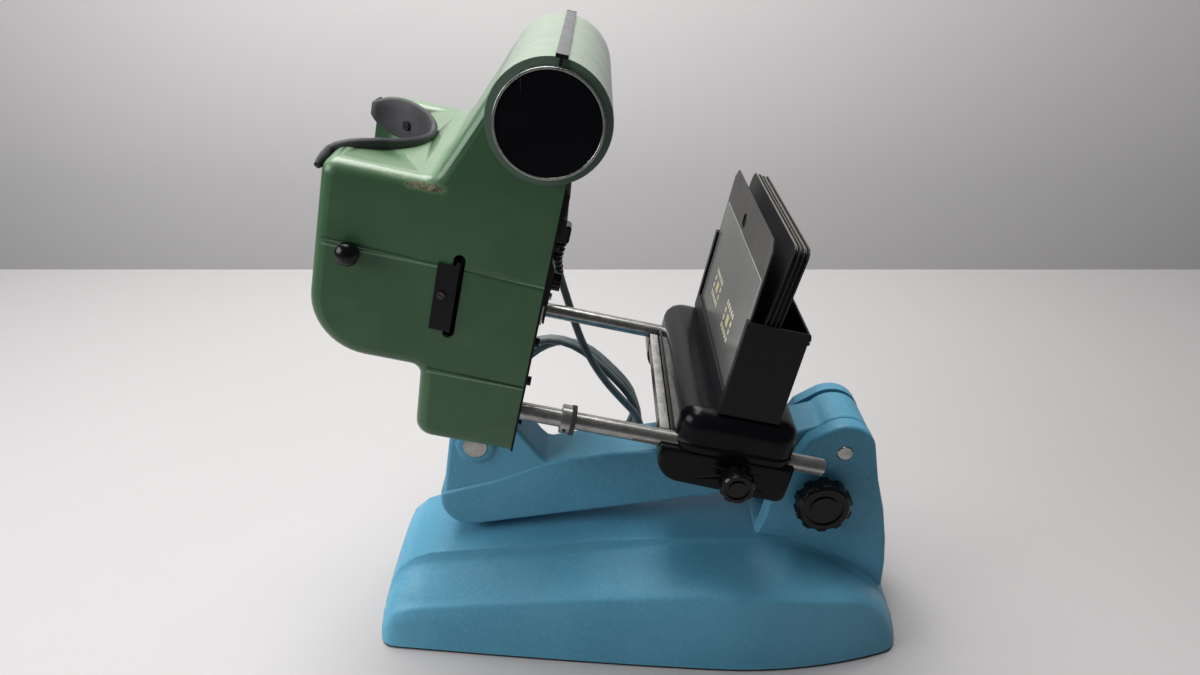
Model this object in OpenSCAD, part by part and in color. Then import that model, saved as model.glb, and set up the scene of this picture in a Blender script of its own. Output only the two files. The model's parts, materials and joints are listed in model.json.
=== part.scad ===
// Stereoscopic vision tester: a lens head with a lamp hood, on a tilting arm and a cast base,
// with a card holder that slides on two rods. X runs from the patient to the cards, Z is up,
// and the origin is on the floor, midway between the base's ends.

/* [Base] */
// Length of the base casting
base_len = 427; // [400:1:450]
// Half width of the base at its front end
base_front_half = 75; // [68:1:80]
// Greatest half width of the base
base_mid_half = 102; // [95:1:110]
// Half width of the base at its rear end
base_rear_half = 78; // [70:1:85]
// Thickness of the pad under the base
pad_t = 2.5; // [1.5:0.5:4]
// Half width of the raised deck
deck_half = 42; // [38:1:50]
// Height of the deck at its highest
deck_h = 87; // [84:0.5:90]
// Wall of the base casting
base_wall = 9; // [7:1:12]

/* [Tower and arm] */
// Arm pivot, forward of the base's middle
arm_x = 162; // [158:0.5:166]
// Height of the arm pivot
arm_z = 165; // [162:0.5:172]
// Radius of the arm pin
arm_pin_r = 6.35; // [5:0.05:8]
// Radius of the ears and of the hub
ear_r = 24.6; // [22:0.2:27]
// Thickness of one ear
ear_t = 13; // [10:0.5:16]
// Half thickness of the arm
arm_half = 22; // [19:0.5:24]
// Wall of the bush in the arm's hub
bush_wall = 3; // [2:0.5:4]
// Thickness of a friction washer
washer_t = 1.2; // [0.8:0.1:2]
// Radius of the clamp stud
stud_r = 4; // [3:0.5:5]
// Radius at which the clamp stud lies below the arm pin
stud_reach = 44; // [42:0.5:46]
// Swing of the arm above its rest
arm_swing = 35; // [20:1:38]
// Radius of the arm clamp knob
arm_knob_r = 22.5; // [18:0.5:26]
// Depth of the arm clamp knob
arm_knob_d = 18; // [14:1:22]

/* [Head] */
// Tilt pivot of the head, behind the base's middle
tilt_x = -131; // [-135:0.5:-128]
// Height of the tilt pivot
tilt_z = 162; // [160:0.5:166]
// Downward slope of the rods at rest
rest_tilt = 12.4; // [11.6:0.1:12.8]
// Radius of the tilt pin
tilt_pin_r = 9.8; // [8:0.2:11]
// Half thickness of the head's tongue
tongue_half = 9; // [7:0.5:11]
// Half width of the head casing
head_half = 98; // [97:0.5:102]
// Wall of the head casing
head_wall = 2.8; // [2:0.1:3]
// Rounding of the casing's side edges
head_edge = 8; // [4:0.5:9]
// Depth of the face recess
face_depth = 55; // [48:1:58]
// Half width of the face recess
face_half = 68; // [62:1:70]
// Height of the lens axes above the tilt pivot
eye_z = 175; // [172:0.5:178]
// Distance between the two lens axes
eye_gap = 62; // [58:1:66]
// Radius of a lens
lens_r = 16; // [14:0.5:17]
// Thickness of the back plate
plate_t = 1.6; // [1:0.1:2.5]

/* [Lamp hood] */
// Height of the hood's axis above the tilt pivot
hood_z = 286; // [280:1:292]
// Distance of the hood's axis behind the tilt pivot
hood_x = 8.5; // [4:0.5:10]
// Outer radius of the lamp hood
hood_r = 38.6; // [36:0.2:40]
// Sheet thickness of the lamp hood
hood_t = 1.5; // [1:0.1:2.5]
// Radius of the end cap with its rim
cap_r = 33.6; // [30:0.2:35]
// How far the end cap stands off the hood
cap_d = 6; // [4:0.5:8]
// Width of the seam strip
strip_w = 7.6; // [6:0.2:10]
// Radius of a lamp bulb
bulb_r = 9; // [7:0.5:11]

/* [Rods and carriage] */
// Radius of a rod
rod_r = 6.35; // [5:0.05:7]
// Distance between the rods
rod_gap = 176; // [172:1:176]
// Height of the rods above the tilt pivot
rod_z = 80.5; // [79:0.5:82]
// Rod length behind the tilt pivot's plane
rod_len = 250; // [246:1:260]
// Front of the carriage, from the tilt pivot's plane
carriage_x = 129; // [125:1:132]
// Length of the carriage along the rods
carriage_len = 98; // [94:1:100]
// Half width of the carriage
carriage_half = 100.5; // [100:0.5:104]
// Height of the carriage cover
cover_h = 30; // [28:0.5:32]
// Depth of the rod blocks below the parting line
block_h = 28; // [24:0.5:30]
// Radius of the carriage clamp knob
clamp_knob_r = 12.5; // [11:0.5:14]
// Travel of the carriage towards the head
travel_in = 58; // [30:1:60]

/* [Card holder] */
// Width of a test card
card_w = 178; // [170:1:180]
// Height of a test card
card_h = 126; // [115:1:130]
// Thickness of a test card
card_t = 1.6; // [1.2:0.1:1.8]
// Number of cards in the pack
card_count = 7; // [3:1:8]
// Height of the card box
box_h = 72; // [60:1:80]
// Depth of the card box
box_d = 44; // [42:1:50]
// Sheet thickness of the card box
box_t = 1.8; // [1.2:0.1:2.5]

/* [Mains cord] */
// Diameter of the mains cord
cord_d = 7; // [6:0.5:7]

/* [Hidden] */
$fn = 64;

// Clearances
fit = 0.05;
gap = 0.3;
eps = 0.01;

// Colours
teal = [0.33, 0.62, 0.72];
sage = [0.42, 0.60, 0.42];
black = [0.09, 0.09, 0.10];
steel = [0.66, 0.65, 0.63];
bronze = [0.66, 0.50, 0.28];
grey = [0.50, 0.51, 0.53];
pale_glass = [0.85, 0.92, 0.92];
cord_green = [0.30, 0.36, 0.36];

// Geometry helpers
function turn(a) = [cos(a), sin(a)];
function arc(c, r, a0, a1, n) =
  [for (i = [0:n]) c + r * turn(a0 + (a1 - a0) * i / n)];
function side(a, b) = let (u = (b - a) / norm(b - a)) [-u[1], u[0]];
function inset(p, d) = [for (i = [0:len(p) - 1])
  let (n1 = side(p[(i + len(p) - 1) % len(p)], p[i]), n2 = side(p[i], p[(i + 1) % len(p)]))
  p[i] + (n1 + n2) * d / (1 + n1 * n2)];
function smooth(x, keys, d) = (lookup(x - d, keys) + 2 * lookup(x, keys) + lookup(x + d, keys)) / 4;

// Skins a list of rings, each with the same number of points, and closes both ends
module skin(rings) {
  n = len(rings[0]);
  m = len(rings);
  points = [for (r = rings) each r];
  sides = [for (k = [0:m - 2], i = [0:n - 1])
    let (j = (i + 1) % n) each [[k * n + i, k * n + j, k * n + n + j],
      [k * n + i, k * n + n + j, k * n + n + i]]];
  first = [for (i = [0:n - 1]) i];
  last = [for (i = [n - 1:-1:0]) (m - 1) * n + i];
  polyhedron(points, concat([for (f = sides) [f[2], f[1], f[0]]], [first], [last]));
}

// A slab with a rounded edge at its bottom and its top, each of its own radius. With core, its flat
// faces belong to a plain prism, which stands a hair proud of the rounded skin.
module soft_slab(outline, z0, z1, r0, r1, steps = 4, core = false) {
  sink = core ? 0.02 : 0;
  low = r0 > 0 ? [for (k = [0:steps]) let (a = 90 * k / steps)
    [z0 + (k == 0 ? sink : r0 * (1 - cos(a))), r0 * (1 - sin(a))]] : [[z0, 0]];
  high = r1 > 0 ? [for (k = [steps:-1:0]) let (a = 90 * k / steps)
    [z1 - (k == 0 ? sink : r1 * (1 - cos(a))), r1 * (1 - sin(a))]] : [[z1, 0]];
  skin([for (s = concat(low, high)) [for (p = inset(outline, s[1])) [p[0], p[1], s[0]]]]);
  if (core)
    translate([0, 0, z0])
      linear_extrude(z1 - z0)
        polygon(inset(outline, max(r0, r1)));
}

// The same slab standing on edge: its outline lies in X and Z, and it is centred on Y
module upright_slab(outline, y0, y1, r, core = false) {
  rotate([90, 0, 0])
    soft_slab(outline, -y1, -y0, r, r, 4, core);
}
module upright(outline, y0, y1) {
  translate([0, y1, 0])
    rotate([90, 0, 0])
      linear_extrude(y1 - y0)
        polygon(outline);
}
module along_y(r, y0, y1) {
  translate([0, y1, 0])
    rotate([90, 0, 0])
      cylinder(r = r, h = y1 - y0);
}
module along_x(r, x0, x1) {
  translate([x0, 0, 0])
    rotate([0, 90, 0])
      cylinder(r = r, h = x1 - x0);
}
module both_sides() {
  children();
  mirror([0, 1, 0])
    children();
}
function round_rect(x0, x1, y0, y1, r, n = 5) = concat(
  arc([x1 - r, y0 + r], r, -90, 0, n), arc([x1 - r, y1 - r], r, 0, 90, n),
  arc([x0 + r, y1 - r], r, 90, 180, n), arc([x0 + r, y0 + r], r, 180, 270, n));
module on_head() {
  translate([tilt_x, 0, tilt_z])
    rotate([0, rest_tilt, 0])
      children();
}

// A knob with finger lobes, its back at the origin and its face towards -Y
module lobed_knob(r, d, lobes) {
  rotate([90, 0, 0])
    difference() {
      union() {
        cylinder(r = r * 0.55, h = d);
        translate([0, 0, d * 0.28])
          cylinder(r = r, h = d * 0.62);
        translate([0, 0, d * 0.9])
          cylinder(r1 = r * 0.93, r2 = r * 0.84, h = d * 0.1);
      }
      for (k = [0:lobes - 1])
        rotate(k * 360 / lobes)
          translate([r * 1.13, 0, d * 0.2])
            cylinder(r = r * 0.23, h = d);
      translate([0, 0, d * 0.92])
        difference() {
          cylinder(r = r * 0.66, h = d);
          cylinder(r = r * 0.5, h = d);
        }
    }
}

// A cheese-head screw along -Y with a slot across its head
module slot_screw(head_r, head_h, shank_r, shank) {
  rotate([90, 0, 0])
    difference() {
      union() {
        cylinder(r = head_r, h = head_h);
        translate([0, 0, -shank])
          cylinder(r = shank_r, h = shank + eps);
      }
      translate([-head_r, -head_r * 0.15, head_h * 0.5])
        cube([2 * head_r, head_r * 0.3, head_h]);
    }
}

// Base casting: fenders that bulge in plan, a step up to the deck, and a two-eared tower
base_end = base_len / 2;
wide_x = 0.19 * base_len;
corner_r = 12;
function corner_cut(x) = let (e = min(x + base_end, base_end - x))
  e >= corner_r ? 0 : corner_r - sqrt(max(0, corner_r * corner_r - pow(corner_r - e, 2)));
function plan_half(x) = (x < wide_x
  ? base_mid_half - (base_mid_half - base_front_half) * pow((wide_x - x) / (wide_x + base_end), 1.25)
  : base_mid_half - (base_mid_half - base_rear_half) * pow((x - wide_x) / (base_end - wide_x), 2.1))
  - corner_cut(x);
fender_keys = [for (k = [[-0.5, 0.12], [-0.48, 0.34], [-0.445, 0.44], [-0.3, 0.56], [-0.1, 0.7],
  [0.12, 0.8], [0.26, 0.78], [0.4, 0.67], [0.455, 0.5], [0.482, 0.3], [0.5, 0.12]])
  [k[0] * base_len, k[1] * deck_h]];
deck_keys = [for (k = [[-0.5, 0.16], [-0.487, 0.4], [-0.473, 0.58], [-0.452, 0.73], [-0.41, 0.82],
  [-0.31, 0.87], [-0.11, 0.955], [0.06, 1], [0.245, 0.99], [0.3, 0.93], [0.366, 0.8],
  [0.43, 0.6], [0.478, 0.4], [0.5, 0.18]]) [k[0] * base_len, k[1] * deck_h]];
step_keys = [[-base_end, 2], [-0.46 * base_len, 9], [-0.2 * base_len, 10.5], [0, 8],
  [0.15 * base_len, 4.5], [0.25 * base_len, 2.5], [base_end, 1.5]];
stations = concat([for (k = [0:5]) -base_end + corner_r * (1 - cos(15 * k))],
  [for (k = [0:31]) -base_end + corner_r + 3 + (base_len - 2 * corner_r - 6) * k / 31],
  [for (k = [5:-1:0]) base_end - corner_r * (1 - cos(15 * k))]);
side_draft = 7;
edge_round = 6;
function half_section(x) = let (w = plan_half(x), hs = smooth(x, fender_keys, 6),
  hd = smooth(x, deck_keys, 4), hf = max(hd - smooth(x, step_keys, 8), pad_t + 5),
  in = w - side_draft, r = min(edge_round, hs / 3)) [
    [w, pad_t], [w - 0.5, pad_t + 2], [w - side_draft * 0.6, hs * 0.6 + pad_t],
    [in, hs - r * 0.7], [in - r * 0.35, hs - r * 0.15], [in - r * 1.2, hs + r * 0.25],
    [in * 0.62 + deck_half * 0.38, hs * 0.62 + hf * 0.38 + 2],
    [in * 0.3 + deck_half * 0.7, hs * 0.3 + hf * 0.7 + 1.6],
    [deck_half + 5, hf], [deck_half + 1.5, hf + (hd - hf) * 0.25],
    [deck_half, hd - 1.6], [deck_half - 1.8, hd], [deck_half * 0.5, hd + 2], [0, hd + 2.6]];
function section(x) = let (h = half_section(x), n = len(h)) concat(
  [for (p = h) [x, p[0], p[1]]], [for (i = [n - 2:-1:0]) [x, -h[i][0], h[i][1]]]);
hollow_end = base_end - base_wall * 1.8;
hollow_stations = [for (k = [0:18]) hollow_end * (k / 9 - 1)];
function hollow_half(x) = let (t = base_wall, w = plan_half(x), hs = smooth(x, fender_keys, 6),
  hd = smooth(x, deck_keys, 4), hf = max(hd - smooth(x, step_keys, 8), pad_t + 5)) [
    [w - t, pad_t - 1], [w - side_draft * 0.7 - t, hs * 0.6], [w - side_draft - t * 1.2, hs - t],
    [deck_half + 5, hf - t], [deck_half - t, hd - t], [0, hd - t + 1.5]];
function hollow_section(x) = let (h = hollow_half(x), n = len(h)) concat(
  [for (p = h) [x, p[0], p[1]]], [for (i = [n - 2:-1:0]) [x, -h[i][0], h[i][1]]]);
tower_front = arm_x - 59;
tower_rear = arm_x + 45.5;
function tower_outline() = concat(
  [[tower_front - 10, deck_h * 0.5], [tower_rear + 1, deck_h * 0.35],
    [tower_rear + 0.5, deck_h * 0.65], [tower_rear - 2, deck_h * 0.92],
    [arm_x + 38, arm_z - 55], [arm_x + 30, arm_z - 26]],
  arc([arm_x, arm_z], ear_r, 5, 125, 12),
  [[arm_x - 29, arm_z + 11], [arm_x - 42.5, arm_z - 12], [tower_front + 4, arm_z - 40],
    [tower_front, deck_h + 18], [tower_front - 2, deck_h + 8], [tower_front - 6, deck_h + 2]]);
ear_gap = arm_half + washer_t + gap;
tower_half = ear_gap + ear_t;
stud_angle = 249;
stud_x = arm_x + stud_reach * cos(stud_angle);
stud_z = arm_z + stud_reach * sin(stud_angle);
lobe_r = stud_reach + 10;
module base_casting() {
  color(teal)
    difference() {
      union() {
        skin([for (x = stations) section(x)]);
        upright_slab(tower_outline(), -tower_half, tower_half, 3);
      }
      // the hollow under the casting, and the core that goes up into the tower
      skin([for (x = hollow_stations) hollow_section(x)]);
      upright([[tower_front + base_wall + 1, deck_h * 0.5], [tower_rear - base_wall - 1, deck_h * 0.5],
        [tower_rear - base_wall - 4, deck_h * 0.92], [arm_x + 26, arm_z - lobe_r - 3 - base_wall],
        [arm_x - lobe_r * 0.5, arm_z - lobe_r - 3 - base_wall],
        [tower_front + base_wall + 8, deck_h + 2 - base_wall]],
        -tower_half + base_wall, tower_half - base_wall);
      // the slot between the ears
      upright([[tower_front - 20, deck_h + 2.8], [tower_front + 12, deck_h + 2.8],
        [arm_x - lobe_r * 0.5, arm_z - lobe_r - 3], [arm_x + 26, arm_z - lobe_r - 3],
        [arm_x + 28, arm_z - 38], [arm_x + 60, arm_z - 34], [arm_x + 60, arm_z + 60],
        [tower_front - 20, arm_z + 60]], -ear_gap, ear_gap);
      translate([arm_x, 0, arm_z])
        along_y(arm_pin_r + fit, -tower_half - 1, tower_half + 1);
      translate([stud_x, 0, stud_z])
        along_y(stud_r + fit, -tower_half - 1, tower_half + 1);
    }
}
module base_pad() {
  color(black)
    linear_extrude(pad_t)
      polygon(concat(
        [for (x = stations) if (abs(x) < base_end - 2) [x, -plan_half(x) + 0.8]],
        [for (k = [len(stations) - 1:-1:0]) let (x = stations[k]) if (abs(x) < base_end - 2)
          [x, plan_half(x) - 0.8]]));
}
module arm_pin() {
  color(steel)
    translate([arm_x, 0, arm_z]) {
      along_y(arm_pin_r, -tower_half - 0.6, tower_half + 0.6);
    }
}
nut_h = 8;
module clamp_stud() {
  color(steel)
    translate([stud_x, 0, stud_z])
      along_y(stud_r, -tower_half - 2 - arm_knob_d * 0.6, tower_half + nut_h + 3);
}
module clamp_nut() {
  color(steel)
    translate([stud_x, tower_half + 0.2, stud_z])
      rotate([-90, 0, 0])
        difference() {
          union() {
            cylinder(r = stud_r * 2.3, h = 1.6);
            translate([0, 0, 1.6])
              cylinder(r = stud_r * 1.9, h = nut_h - 1.6, $fn = 6);
          }
          translate([0, 0, -1])
            cylinder(r = stud_r + fit, h = nut_h + 2);
        }
}
module arm_clamp_knob() {
  color(black)
    translate([stud_x, -tower_half - 0.4, stud_z])
      difference() {
        lobed_knob(arm_knob_r, arm_knob_d, 10);
        along_y(stud_r + fit, -arm_knob_d * 0.7, 1);
      }
}

// Arm casting: a tapered beam with a hub between the ears and a forked front end
hub_r = ear_r - 0.4;
heel_r = 24.5;
heel = [tilt_x - 7.5, tilt_z - 52.5];
fork_r = 21.5;
function arm_outline() = concat(
  arc(heel, heel_r - 2, 168, 278.7, 8),
  [[arm_x - 62, arm_z - 42]],
  arc([arm_x, arm_z], lobe_r, 240, 292, 6),
  arc([arm_x, arm_z], hub_r, 340, 500, 14),
  [[arm_x - 34, arm_z + 11], [arm_x - 102, arm_z + 2.5], [arm_x - 176, arm_z - 10],
    [tilt_x + 61, tilt_z - 14.5], [tilt_x + 56, tilt_z - 13.2], [tilt_x + 51, tilt_z - 8]],
  arc([tilt_x + 20, tilt_z + 9.5], 15, 37, 100, 5),
  arc([tilt_x, tilt_z], fork_r, 100, 168, 5));
function lower_outline() = concat(
  arc(heel, heel_r, 176, 278.7, 8),
  [[arm_x - 62, arm_z - 44], [arm_x - 62, arm_z - 3], [tilt_x + 110, tilt_z - 6],
    [tilt_x + 55, tilt_z - 16.5], [tilt_x + 14, tilt_z - 33], [tilt_x - 31, tilt_z - 45]]);
module arm_casting() {
  color(teal)
    difference() {
      union() {
        rotate([90, 0, 0])
          soft_slab(arm_outline(), -arm_half + 1, arm_half - 1, 3, 3, 3, true);
        upright_slab(lower_outline(), -arm_half - 1, arm_half + 1, 3);
        translate([arm_x, 0, arm_z])
          along_y(hub_r - 5, -arm_half, arm_half);
        translate([tilt_x, 0, tilt_z])
          along_y(tilt_pin_r + 5, -arm_half - 0.8, arm_half + 0.8);
      }
      // the fork that takes the head's tongue
      upright(concat([[tilt_x - 60, tilt_z - 27]], [[tilt_x + 32, tilt_z - 27]],
        [[tilt_x + 40, tilt_z + 50], [tilt_x - 60, tilt_z + 50]]),
        -tongue_half - washer_t - gap, tongue_half + washer_t + gap);
      translate([tilt_x, 0, tilt_z])
        along_y(tilt_pin_r + fit, -arm_half - 2, arm_half + 2);
      translate([arm_x, 0, arm_z])
        along_y(arm_pin_r + bush_wall, -arm_half - 1, arm_half + 1);
      // the curved slot for the clamp stud
      upright(concat(
        arc([arm_x, arm_z], stud_reach + stud_r + gap, stud_angle - 1, stud_angle + arm_swing + 1, 10),
        arc([arm_x, arm_z] + stud_reach * turn(stud_angle + arm_swing + 1), stud_r + gap,
          stud_angle + arm_swing + 31, stud_angle + arm_swing + 151, 4),
        arc([arm_x, arm_z], stud_reach - stud_r - gap, stud_angle + arm_swing + 1, stud_angle - 1, 10),
        arc([arm_x, arm_z] + stud_reach * turn(stud_angle - 1), stud_r + gap,
          stud_angle - 151, stud_angle - 31, 4)), -arm_half - 2, arm_half + 2);
    }
}
module hub_bush() {
  color(bronze)
    translate([arm_x, 0, arm_z])
      difference() {
        along_y(arm_pin_r + bush_wall, -arm_half, arm_half);
        along_y(arm_pin_r + fit, -arm_half - 1, arm_half + 1);
      }
}
module washer_pair(r, hole, y) {
  both_sides()
    difference() {
      along_y(r, y, y + washer_t);
      along_y(hole, y - 1, y + washer_t + 1);
    }
}
module tilt_pin() {
  color(steel)
    translate([tilt_x, 0, tilt_z])
      along_y(tilt_pin_r, -arm_half - 1.6, arm_half + 1.6);
}
module pivot_washers() {
  color(bronze) {
    translate([tilt_x, 0, tilt_z])
      washer_pair(tilt_pin_r + 7, tilt_pin_r + gap, tongue_half);
    translate([arm_x, 0, arm_z])
      washer_pair(hub_r - 5, arm_pin_r + gap, arm_half);
  }
}

// Head frame: a cross bar that holds both rods, with the tongue that hangs on the arm
bar_x0 = -24;
bar_x1 = 19;
bar_h = 11;
rod_y = rod_gap / 2;
inner_half = head_half - head_wall;
module head_frame() {
  color(grey)
    on_head()
      difference() {
        union() {
          translate([bar_x0, -inner_half + gap, rod_z - bar_h])
            cube([bar_x1 - bar_x0, 2 * (inner_half - gap), 2 * bar_h]);
          upright([[-12, 0], [12, 0], [bar_x1 - 1, rod_z], [bar_x0 + 1, rod_z]],
            -tongue_half, tongue_half);
          along_y(tilt_pin_r + 7, -tongue_half, tongue_half);
        }
        along_y(tilt_pin_r + fit, -tongue_half - 1, tongue_half + 1);
        both_sides()
          translate([0, rod_y, rod_z])
            along_x(rod_r + fit, bar_x0 - 1, bar_x1 + 1);
      }
}

// Head casing, in the head's own frame
front_x = -123;
back_x = 26;
chin_z = 50;
belly_z = 104;
top_z = 236;
chin_x = -43;
crease_z = 181;
slope_a = 68.6;
function casing_outline() = concat(
  [[back_x + head_edge + 3, chin_z], [back_x + head_edge + 3, hood_z - hood_r * 0.7],
    [hood_x, hood_z]],
  [[hood_x, hood_z] + hood_r * turn(90 + slope_a)],
  arc([-62, top_z + 11], 11, 270 + slope_a, 270, 5),
  arc([front_x + 10, top_z - 10], 10, 90, 180, 5),
  arc([front_x + 40, belly_z + 40], 40, 180, 270, 12),
  arc([chin_x - 9, belly_z - 7], 7, 90, 6, 4),
  arc([chin_x + 12, chin_z + 12], 12, 180, 270, 5));
slot_x = -30.4;
slot_z0 = 131;
slot_z1 = 191;
slot_w = 7.8;
knob_x = -99.7;
knob_z = 179;
function recess(d, n = 24) = [for (k = [0:n]) let (a = 90 - 180 * k / n)
  [front_x + (face_depth + d) * cos(a), (face_half + d) * sin(a)]];
module recess_prism(d, z0, z1) {
  translate([0, 0, z0])
    linear_extrude(z1 - z0)
      polygon(concat([[front_x - 40, face_half + d]], recess(d), [[front_x - 40, -face_half - d]]));
}
nose_half = 25;
module nose_prism(d, z0, z1) {
  translate([0, 0, z0])
    linear_extrude(z1 - z0)
      polygon(concat([[front_x - 40, nose_half + d]],
        [for (k = [0:12]) let (a = 90 - 15 * k)
          [front_x + (face_depth - 16 + d) * (0.35 + 0.65 * cos(a)), (nose_half + d) * sin(a)]],
        [[front_x - 40, -nose_half - d]]));
}
face_z = 128;
cell_r = lens_r + 3.5;
crease_w = 1.7;
module crease(x0, z0, z1) {
  translate([x0, -head_half, z0])
    rotate([0, atan2(z0 - z1, back_x - x0), 0])
      rotate([45, 0, 0])
        translate([0, -crease_w / 2, -crease_w / 2])
          cube([back_x - x0 + 20, crease_w, crease_w]);
}
module head_casing() {
  color(sage)
    on_head()
      difference() {
        upright_slab(casing_outline(), -head_half, head_half, head_edge, true);
        difference() {
          upright_slab(inset(casing_outline(), head_wall), -inner_half, inner_half,
            head_edge - head_wall, true);
          recess_prism(head_wall, face_z - head_wall, top_z + 80);
          nose_prism(head_wall, 80, face_z + 8);
        }
        // the open back
        upright([[back_x, chin_z - 10], [back_x + 40, chin_z - 10],
          [back_x + 40, hood_z], [back_x, hood_z]], -head_half - 5, head_half + 5);
        recess_prism(0, face_z, top_z + 80);
        nose_prism(0, 60, face_z + 8);
        // the seat of the lamp hood
        translate([hood_x, 0, hood_z])
          along_y(hood_r + 0.1, -head_half - 1, head_half + 1);
        // the slot for the tongue
        translate([-34, -tongue_half - 3, chin_z - 5])
          cube([back_x + 36, 2 * tongue_half + 6, 12]);
        both_sides() {
          translate([0, eye_gap / 2, eye_z])
            along_x(cell_r + 0.1, front_x, slot_x - 8);
          translate([knob_x, 0, knob_z])
            along_y(3 + fit, inner_half - 2, head_half + 2);
          upright(concat(arc([slot_x, slot_z1 - slot_w / 2], slot_w / 2, 0, 180, 8),
            arc([slot_x, slot_z0 + slot_w / 2], slot_w / 2, 180, 360, 8)),
            inner_half - 2, head_half + 2);
          crease(front_x - 1, crease_z + 3.5, crease_z - 2.7);
          crease(chin_x + 3, belly_z + 1.9, belly_z + 0.3);
        }
      }
}
plate_z0 = chin_z + 1;
plate_z1 = hood_z - hood_r - 0.5;
window_w = 46;
window_h = 56;
module back_plate() {
  color(black)
    on_head()
      difference() {
        translate([back_x + eps, -head_half + 1.5, plate_z0])
          cube([plate_t, 2 * head_half - 3, plate_z1 - plate_z0]);
        both_sides() {
          translate([0, rod_y, rod_z])
            along_x(rod_r + gap, back_x - 1, back_x + plate_t + 1);
          translate([back_x - 1, eye_gap / 2 - window_w / 2 + 4, eye_z - window_h / 2])
            cube([plate_t + 2, window_w, window_h]);
        }
      }
}
module screw_on_back(y, z, r, h) {
  translate([back_x + plate_t + 2 * eps, y, z])
    rotate([0, 0, 90])
      slot_screw(r, h, r * 0.5, 0);
}
module plate_screws() {
  color(black)
    on_head()
      both_sides()
        for (z = [belly_z + 4, 138, 208])
          screw_on_back(-head_half + 5, z, 3.2, 2.6);
}
bracket_y = 10 - head_half;
bracket_x = back_x + plate_t + 2 * eps;
bracket_nut_z = 182;
module back_bracket() {
  color(black)
    on_head()
      difference() {
        translate([bracket_x, bracket_y, 0])
          upright([[0, 165], [1.3, 165], [1.3, 153], [2.9, 152], [2.9, 191], [0, 197]], -5, 5);
        translate([0, bracket_y, bracket_nut_z])
          along_x(2 + fit, bracket_x - 1, bracket_x + 5);
      }
}
module bracket_nut() {
  color(black)
    on_head()
      translate([bracket_x + 3 + eps, bracket_y, bracket_nut_z])
        difference() {
          union() {
            along_x(6, 0, 5.2);
            along_x(2, -2.8, 1);
          }
          for (k = [0:11])
            rotate([30 * k + 15, 0, 0])
              translate([0, 0, 6.5])
                along_x(1, -1, 7);
        }
}
module pointer() {
  color(steel)
    on_head()
      translate([bracket_x, bracket_y - 0.5, 0]) {
        translate([2.9 + eps, 0, 171])
          along_x(2.4, 0, 1.5);
        difference() {
          rotate([90, 0, 90])
            linear_extrude(1.2)
              polygon([[0, 149], [2.6, 158], [2.6, 164.8], [-2.6, 164.8], [-2.6, 158]]);
        }
      }
}
module latch_plates() {
  color(black)
    on_head()
      for (p = [[229, 243, 2.6], [216, 227, 4]])
        translate([back_x + plate_t + 2 * eps, -head_half + 3, p[0]])
          cube([p[2], 40, p[1] - p[0]]);
}
module septum() {
  color(black)
    on_head()
      upright([[front_x + face_depth + head_wall + 1, eye_z - 35], [back_x - gap, eye_z - 43],
        [back_x - gap, eye_z + 47], [front_x + face_depth + head_wall + 1, eye_z + 35]], -0.8, 0.8);
}

// Brow rest: a rubber band round the recess whose wings turn out along the casing's front
band_t = 4.5;
band_top = top_z + 5;
band_bottom = top_z - 25;
wing_half = head_half - 2;
wing_end = 26;
lip_y = face_half - gap;
brow_rx = face_depth - gap - band_t;
brow_ry = lip_y - band_t;
function band_outline() = let (front = front_x - gap, back = recess(-gap), inner = recess(-gap - band_t))
  concat([[front, wing_half], [front, lip_y]], back, [[front, -lip_y], [front, -wing_half]],
    [[front - band_t, -wing_half]], arc([front, -lip_y], band_t, 180, 90, 4),
    [for (k = [len(inner) - 1:-1:0]) inner[k]], arc([front, lip_y], band_t, 270, 180, 4),
    [[front - band_t, wing_half]]);
function wing_tip(dir) = let (mid = (band_top + band_bottom) / 2, high = (band_top - band_bottom) / 2)
  [for (k = [-8:8]) let (a = dir * 11.25 * k) [wing_half - wing_end + wing_end * cos(a), mid + high * sin(a)]];
module brow_rest() {
  color(black)
    on_head()
      intersection() {
        translate([0, 0, band_bottom])
          linear_extrude(band_top - band_bottom)
            polygon(band_outline());
        translate([front_x - 20, 0, 0])
          rotate([90, 0, 90])
            linear_extrude(face_depth + 40)
              polygon(concat(wing_tip(1), [for (p = wing_tip(-1)) [-p[0], p[1]]]));
      }
}
brow_screw_y = 54;
brow_screw_a = asin(brow_screw_y / brow_ry);
module brow_screws() {
  color(steel)
    on_head()
      both_sides()
        translate([front_x + brow_rx * cos(brow_screw_a), brow_screw_y, top_z - 12])
          rotate([0, 0, atan2(sin(brow_screw_a) / brow_ry, cos(brow_screw_a) / brow_rx) - 90])
            translate([0, -0.5, 0])
              slot_screw(3.6, 1.8, 1.5, 0);
}

// Lenses in their cells, and what can be put before them
cell_x0 = front_x + face_depth - 14;
cell_x1 = front_x + face_depth + 10;
module lens_cells() {
  color(black)
    on_head()
      both_sides()
        translate([0, eye_gap / 2, eye_z])
          difference() {
            along_x(cell_r, cell_x0, cell_x1);
            along_x(lens_r - 1.2, cell_x0 - 1, cell_x1 + 1);
            along_x(lens_r + fit, cell_x1 - 8, cell_x1 + 1);
          }
}
lens_edge = 2;
lens_bulge = 46;
lens_sag = lens_bulge - sqrt(lens_bulge * lens_bulge - lens_r * lens_r);
module lenses() {
  color(pale_glass)
    on_head()
      both_sides()
        translate([cell_x1 - 7.9, eye_gap / 2, eye_z])
          rotate([0, 90, 0])
            rotate_extrude()
              polygon(concat([[0, 0], [lens_r, 0]],
                [for (k = [0:6]) let (r = lens_r * (1 - k / 6))
                  [r, lens_edge + lens_sag - lens_bulge + sqrt(lens_bulge * lens_bulge - r * r)]]));
}
blade_reach = 60;
blade_lift = 36;
blade_y = head_half - 24;
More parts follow.
